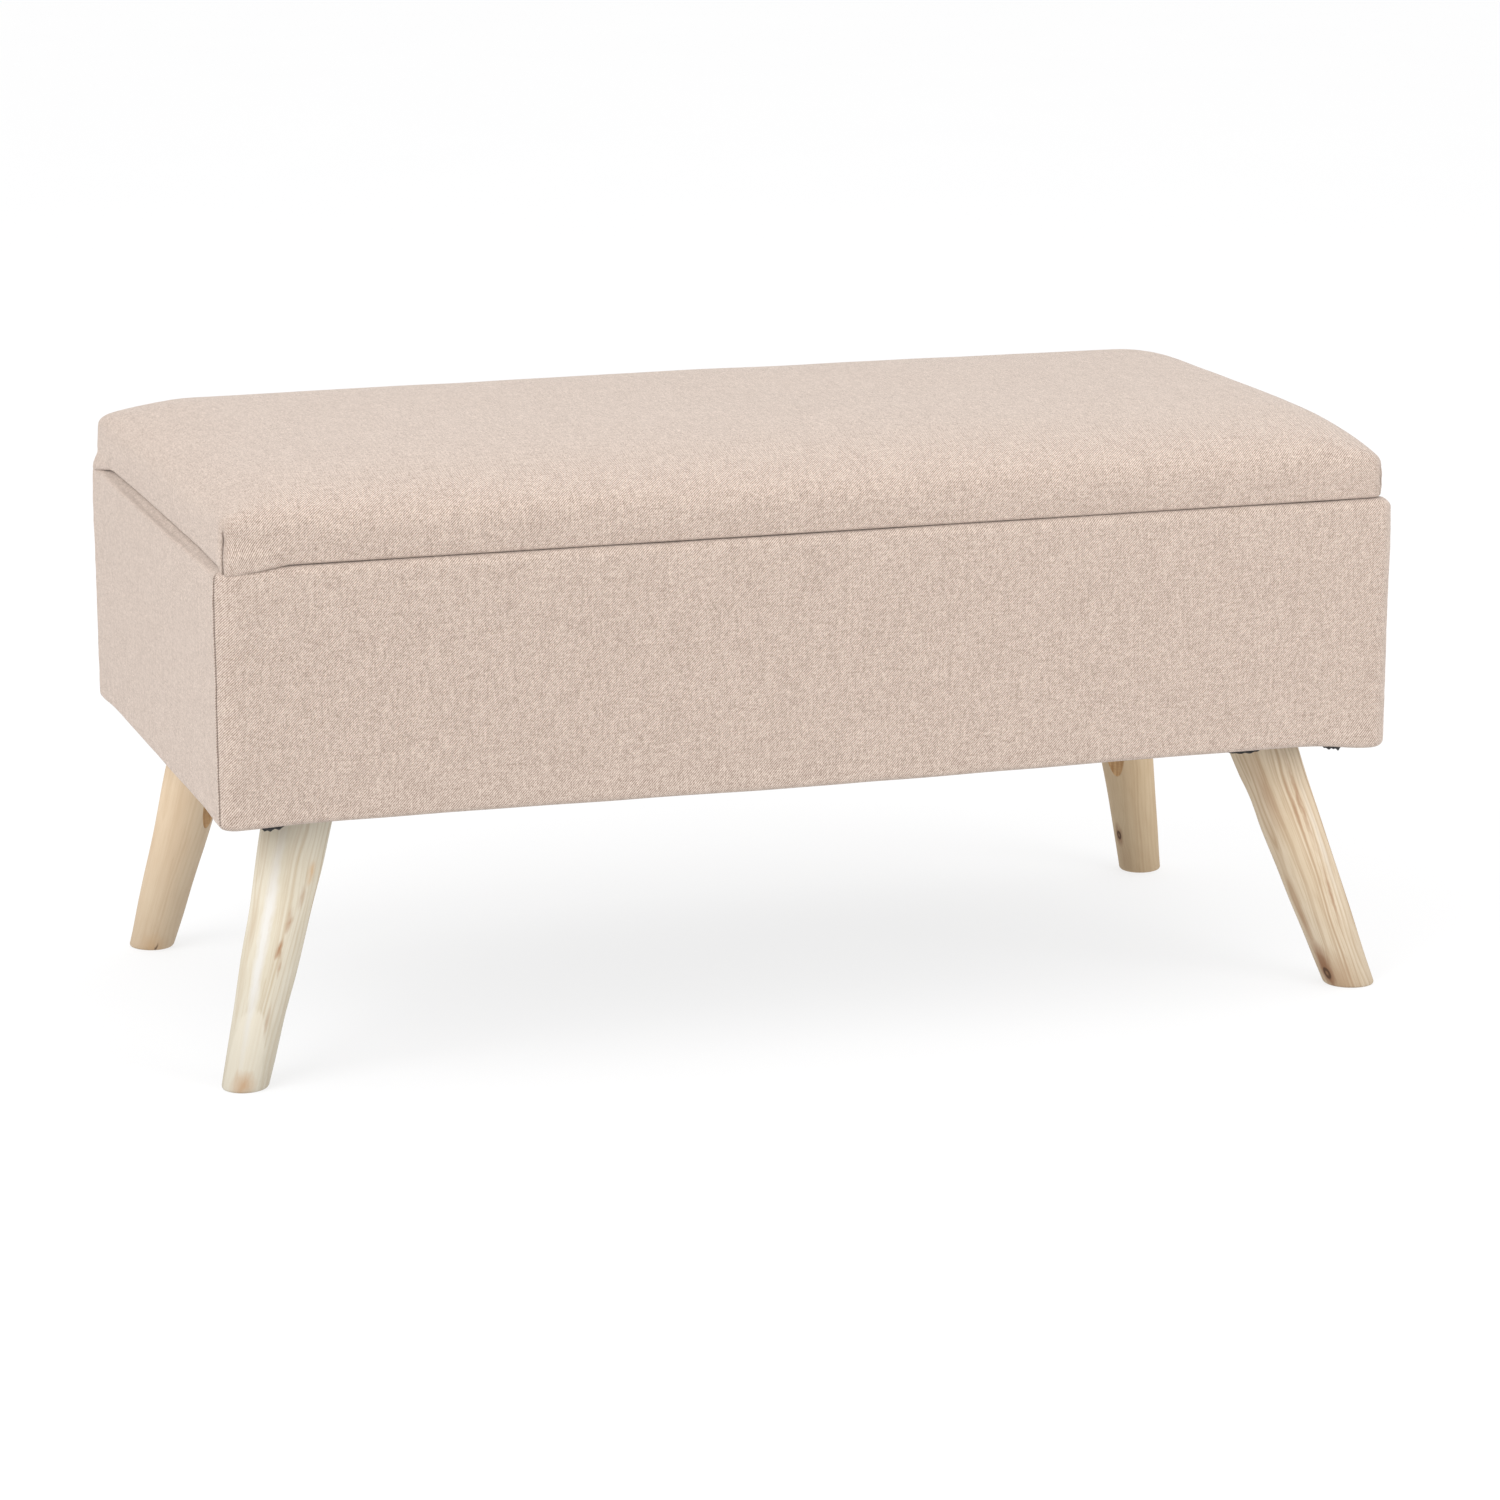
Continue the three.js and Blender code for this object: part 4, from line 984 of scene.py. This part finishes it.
def lid_foam():
    """The foam on the lid's board: the cushion's own form, a cloth's thickness inside it."""
    low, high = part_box("lid_foam")
    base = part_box("lid_board")[1].z + 0.4 * MM
    shrunk = 2 * MM
    xs = np.linspace(low.x + shrunk, high.x - shrunk, 90)
    ys = np.linspace(low.y + shrunk, high.y - shrunk, 48)
    grid_x, grid_y = np.meshgrid(xs, ys)
    from_end = np.minimum(grid_x - low.x, high.x - grid_x)
    from_side = np.minimum(grid_y - low.y, high.y - grid_y)
    heights = np.maximum(crown_height(from_end, from_side, 0.8) - 5 * MM, base + 3 * MM)
    top = np.stack([grid_x, grid_y, heights], axis=-1).reshape(-1, 3)
    points, faces = closed_sheet(top, top * (1, 1, 0) + (0, 0, base), *heights.shape)
    piece = new_piece("lid_foam_pad", points, faces, FOAM, smooth_angle=50)
    stand_for(piece, "lid", "lid_foam")


# ---- legs
# Each leg's foot radius, how far its top and its foot are out of true (X, Y), its three wood
# tones, how strongly its figure shows, its marks (bearing, height, half width, half length,
# tint, strength, solid share) and its knots (bearing, height, radius). Millimetres and degrees.
# Some pale marks are painted highlights or sheen, laid over pale chalky wood.
LEGS = {
    "front_left": {
        "foot_radius": 14.8, "top_shift": (3.4, 0), "foot_shift": (5.2, -3.5),
        "tones": (rgb(0.60, 0.555, 0.46), rgb(0.54, 0.485, 0.38), rgb(0.41, 0.31, 0.20)), "figure": 0.5,
        "marks": [
            (-30, 0, 17, 58, rgb(0.64, 0.59, 0.49), 0.7, 0.92),
            # A pale chalky streak in the wood, with a painted highlight along it, down the leg's left side.
            (-36, 100, 4.6, 95, rgb(0.62, 0.605, 0.575), 0.9, 0.3),
            (31, 145, 4, 10, AMBER, 0.8, 0.0), (22, 129, 3.4, 9, BROWN, 0.6, 0.0),
            (6, 113, 2.6, 11, BROWN, 0.75, 0.1), (-2, 95, 2.8, 8, BROWN, 0.95, 0.2),
            (4, 84, 1.6, 9, BROWN, 0.6, 0.1), (4, 47, 2.0, 13, BROWN, 0.5, 0.1),
            (-22, 4, 13, 12, rgb(0.46, 0.285, 0.155), 0.8, 0.1)]},
    "front_right": {
        "foot_radius": 16.2, "top_shift": (0.5, 0), "foot_shift": (6.5, 6.5),
        "tones": (rgb(0.63, 0.53, 0.40), rgb(0.55, 0.44, 0.31), rgb(0.36, 0.24, 0.14)), "figure": 0.7,
        "marks": [
            (14, 140, 2.0, 45, BROWN, 0.7, 0.2), (0, 134, 1.7, 32, BROWN, 0.65, 0.2),
            (13, 70, 1.8, 28, BROWN, 0.65, 0.2), (-45, 145, 7, 42, BROWN, 0.5, 0.1),
            (30, 110, 3, 60, CHALK_AND_SHEEN, 0.3, 0.1), (-40, 4, 19, 30, rgb(0.42, 0.28, 0.17), 0.8, 0.0),
            (-66, 17, 8, 21, rgb(0.25, 0.125, 0.065), 0.85, 0.3), (-74, 48, 6, 40, BROWN, 0.5, 0.0)],
        "knots": [(-66, 10, 3.8)]},
    "back_left": {
        "foot_radius": 15.2, "foot_shift": (1.5, 6),
        "tones": (rgb(0.60, 0.48, 0.345), rgb(0.55, 0.42, 0.29), rgb(0.42, 0.295, 0.18)), "figure": 0.25,
        "marks": [(-12, 0, 15, 15, AMBER, 0.7, 0.1), (-2, 3, 1.6, 2.6, DARK, 0.8, 0.3)]},
    "back_right": {
        "foot_radius": 15.2, "foot_shift": (-2.5, -7),
        "tones": (rgb(0.555, 0.43, 0.285), rgb(0.50, 0.37, 0.235), rgb(0.37, 0.25, 0.14)), "figure": 0.3,
        # The pale streak high on this leg is a painted sheen.
        "marks": [(20, 145, 4, 32, CHALK_AND_SHEEN, 0.3, 0.0), (-60, 12, 8, 16, BROWN, 0.25, 0.0)],
        "knots": [(-69, 31, 3.2)]},
}
LEG_TOP_RADIUS = 23.3 * MM
POCKET_RADIUS, SHANK_RADIUS = 9 * MM, 4.1 * MM


def centre_of_slice(node, height, depth):
    """The middle of a CAD node's points within depth of a height."""
    points = points_of(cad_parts[node].data)
    chosen = points[np.abs(points[:, 2] - height) < depth]
    low, high = chosen.min(axis=0), chosen.max(axis=0)
    return (low + high) / 2


def leg(name, number, foot_radius, foot_shift, top_shift=(0, 0), **look):
    """A turned leg of raw wood, cut level at both ends, with its bolt's pocket bored in."""
    node = f"{name}_leg"
    low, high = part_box(node)
    foot = centre_of_slice(node, low.z, 1 * MM) + np.array([*foot_shift, 0]) * MM
    bolt_low, bolt_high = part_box(f"{name}_leg_bolt")
    bolt = (bolt_low + bolt_high) / 2
    top = np.array([bolt.x, bolt.y, high.z]) + np.array([*top_shift, 0]) * MM
    axis = (top - foot) / np.linalg.norm(top - foot)
    tilt = np.array([axis[0], axis[1], 0.0]) / math.hypot(axis[0], axis[1])
    beside = np.array([-tilt[1], tilt[0], 0.0])
    height = high.z - low.z
    plain = np.linspace(4 * MM, height - 4 * MM, 62)
    levels = [0, 0.35 * MM, 0.9 * MM, 1.8 * MM, *plain, height - 1 * MM, height - 0.3 * MM, height]
    eased = [1.7 * MM, 0.85 * MM, 0.35 * MM, *([0.0] * (len(plain) + 2)), 0.2 * MM, 0.7 * MM]
    turns = np.linspace(0, math.tau, 56, endpoint=False)
    rings = []
    for level, eased_by in zip(levels, eased):
        middle = foot + (top - foot) * level / height
        radius = foot_radius * MM + (LEG_TOP_RADIUS - foot_radius * MM) * level / height
        ring = middle + radius * (np.cos(turns)[:, None] * tilt / axis[2] + np.sin(turns)[:, None] * beside)
        outward = (ring - middle) / np.linalg.norm(ring - middle, axis=1)[:, None]
        uneven = 0.85 * MM * wobble(ring * (1, 1, 0.7), 30 * MM, number) - 0.1 * MM
        rings.append(ring + outward * (uneven - eased_by)[:, None])
    faces = grid_faces(len(rings), len(turns), wrap_columns=True)
    faces += [cap(ring, len(turns)) for ring in (0, len(rings) - 1)]
    wood = leg_wood(name + "_wood", **look)
    piece = new_piece(node + "_wood", np.vstack(rings), faces, wood)

    seat = bolt_low.z + 6.3 * MM
    bores = (POCKET_RADIUS, -10 * MM, seat), (SHANK_RADIUS, seat - 1 * MM, high.z + 5 * MM)
    for radius, low_end, high_end in bores:
        middle = (bolt.x, bolt.y, (low_end + high_end) / 2)
        drill(piece, radius, high_end - low_end, middle, sides=48, lining=BORED)

    local = points_of(piece.data) - foot
    along = local[:, 2] / axis[2]
    aside = (local - np.outer(along, axis))[:, :2]
    skin = SKIN_RADIUS * aside / np.maximum(np.linalg.norm(aside, axis=1), 1 * MM)[:, None]
    add_attribute(piece, "grain", np.column_stack([aside, along]))
    add_attribute(piece, "skin", np.column_stack([skin, along]))
    piece.data.set_sharp_from_angle(angle=math.radians(38))
    stand_for(piece, "base", node)


# ---- carried-over CAD nodes
def finish_node(name, material, bevel):
    """Keeps a CAD node as it is, with softened edges and a real material."""
    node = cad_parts[name]
    node.data.materials.clear()
    node.data.materials.append(material)
    soften = node.modifiers.new("edges", "BEVEL")
    soften.width = bevel
    soften.segments = 2
    soften.limit_method = "ANGLE"
    soften.angle_limit = math.radians(40)
    node.data.set_sharp_from_angle(angle=math.radians(35))


def carried_over():
    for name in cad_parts:
        if name.endswith("_panel") or name == "lid_board":
            finish_node(name, BOARD, 0.6 * MM)
        elif any(word in name for word in ("screw", "bolt", "nut", "hinge", "stay")):
            finish_node(name, STEEL, 0.15 * MM)


# ---- studio
# Each light's place, its size and its power. They all face the middle of the bench.
LIGHTS = {
    "key": ((-3.0, -1.6, 2.5), (2.8, 2.8), 101),
    "top": ((1.1, 0.6, 3.2), (2.6, 2.0), 13),
    "fill": ((1.6, -2.0, 1.1), (1.4, 1.4), 25),
}
FLOOR_REACH = 14.0


def set_up(name, data, place, direction):
    """Puts a light or a camera in the scene, facing that way."""
    made = bpy.data.objects.new(name, data)
    made.location = place
    made.rotation_mode = "QUATERNION"
    made.rotation_quaternion = Vector(direction).to_track_quat("-Z", "Y")
    bpy.context.scene.collection.objects.link(made)
    return made


def studio():
    corners = [(x * FLOOR_REACH, y * FLOOR_REACH, 0) for x, y in ((-1, -1), (1, -1), (1, 1), (-1, 1))]
    floor = new_piece("studio_floor", corners, [[0, 1, 2, 3]], floor_material())
    floor.location.z = CAD_BOX[0].z - 0.1 * MM
    world = bpy.data.worlds.new("studio")
    world.use_nodes = True
    colour, strength = world.node_tree.nodes["Background"].inputs[:2]
    colour.default_value = rgb(1.0, 1.0, 1.0)
    strength.default_value = 1.0
    bpy.context.scene.world = world
    for name, (place, size, power) in LIGHTS.items():
        light = bpy.data.lights.new(name, "AREA")
        light.shape = "RECTANGLE"
        light.size, light.size_y = size
        light.energy = power
        set_up(name, light, place, Vector((0.0, 0.0, 0.25)) - Vector(place))
    view = bpy.context.scene.view_settings
    view.view_transform = "Standard"
    view.look = "None"


def camera():
    yaw, pitch = math.radians(17.66), math.radians(13.54)
    lens = bpy.data.cameras.new("view")
    lens.sensor_width = 36.0
    lens.lens = 128.4
    lens.clip_end = 60.0
    forward = (math.sin(yaw) * math.cos(pitch), math.cos(yaw) * math.cos(pitch), -math.sin(pitch))
    bpy.context.scene.camera = set_up("view", lens, (-1.0738, -3.4180, 1.0180), forward)


# ---- the bench
camera()
studio()
box_padding()
body_cover()
storage_lining()
flat_cloth("under_cloth", "dust_cloth", DUST_CLOTH, "base", 0.9 * MM, 0.9 * MM, 51,
           scraps_and_shadow_strip())
staples("under_cloth_staples", "dust_cloth", BODY_LOW.z - 1.6 * MM, "base")
lid_foam()
lid_cushion()
flat_cloth("lid_under_cloth", "lid_underside_cloth", LINING_CLOTH, "lid",
           0.7 * MM, 0.1 * MM, 61)
staples("lid_cloth_staples", "lid_underside_cloth", LID_LOW.z - 1.2 * MM, "lid")
for leg_number, (leg_name, leg_look) in enumerate(LEGS.items()):
    leg(leg_name, leg_number, **leg_look)
carried_over()
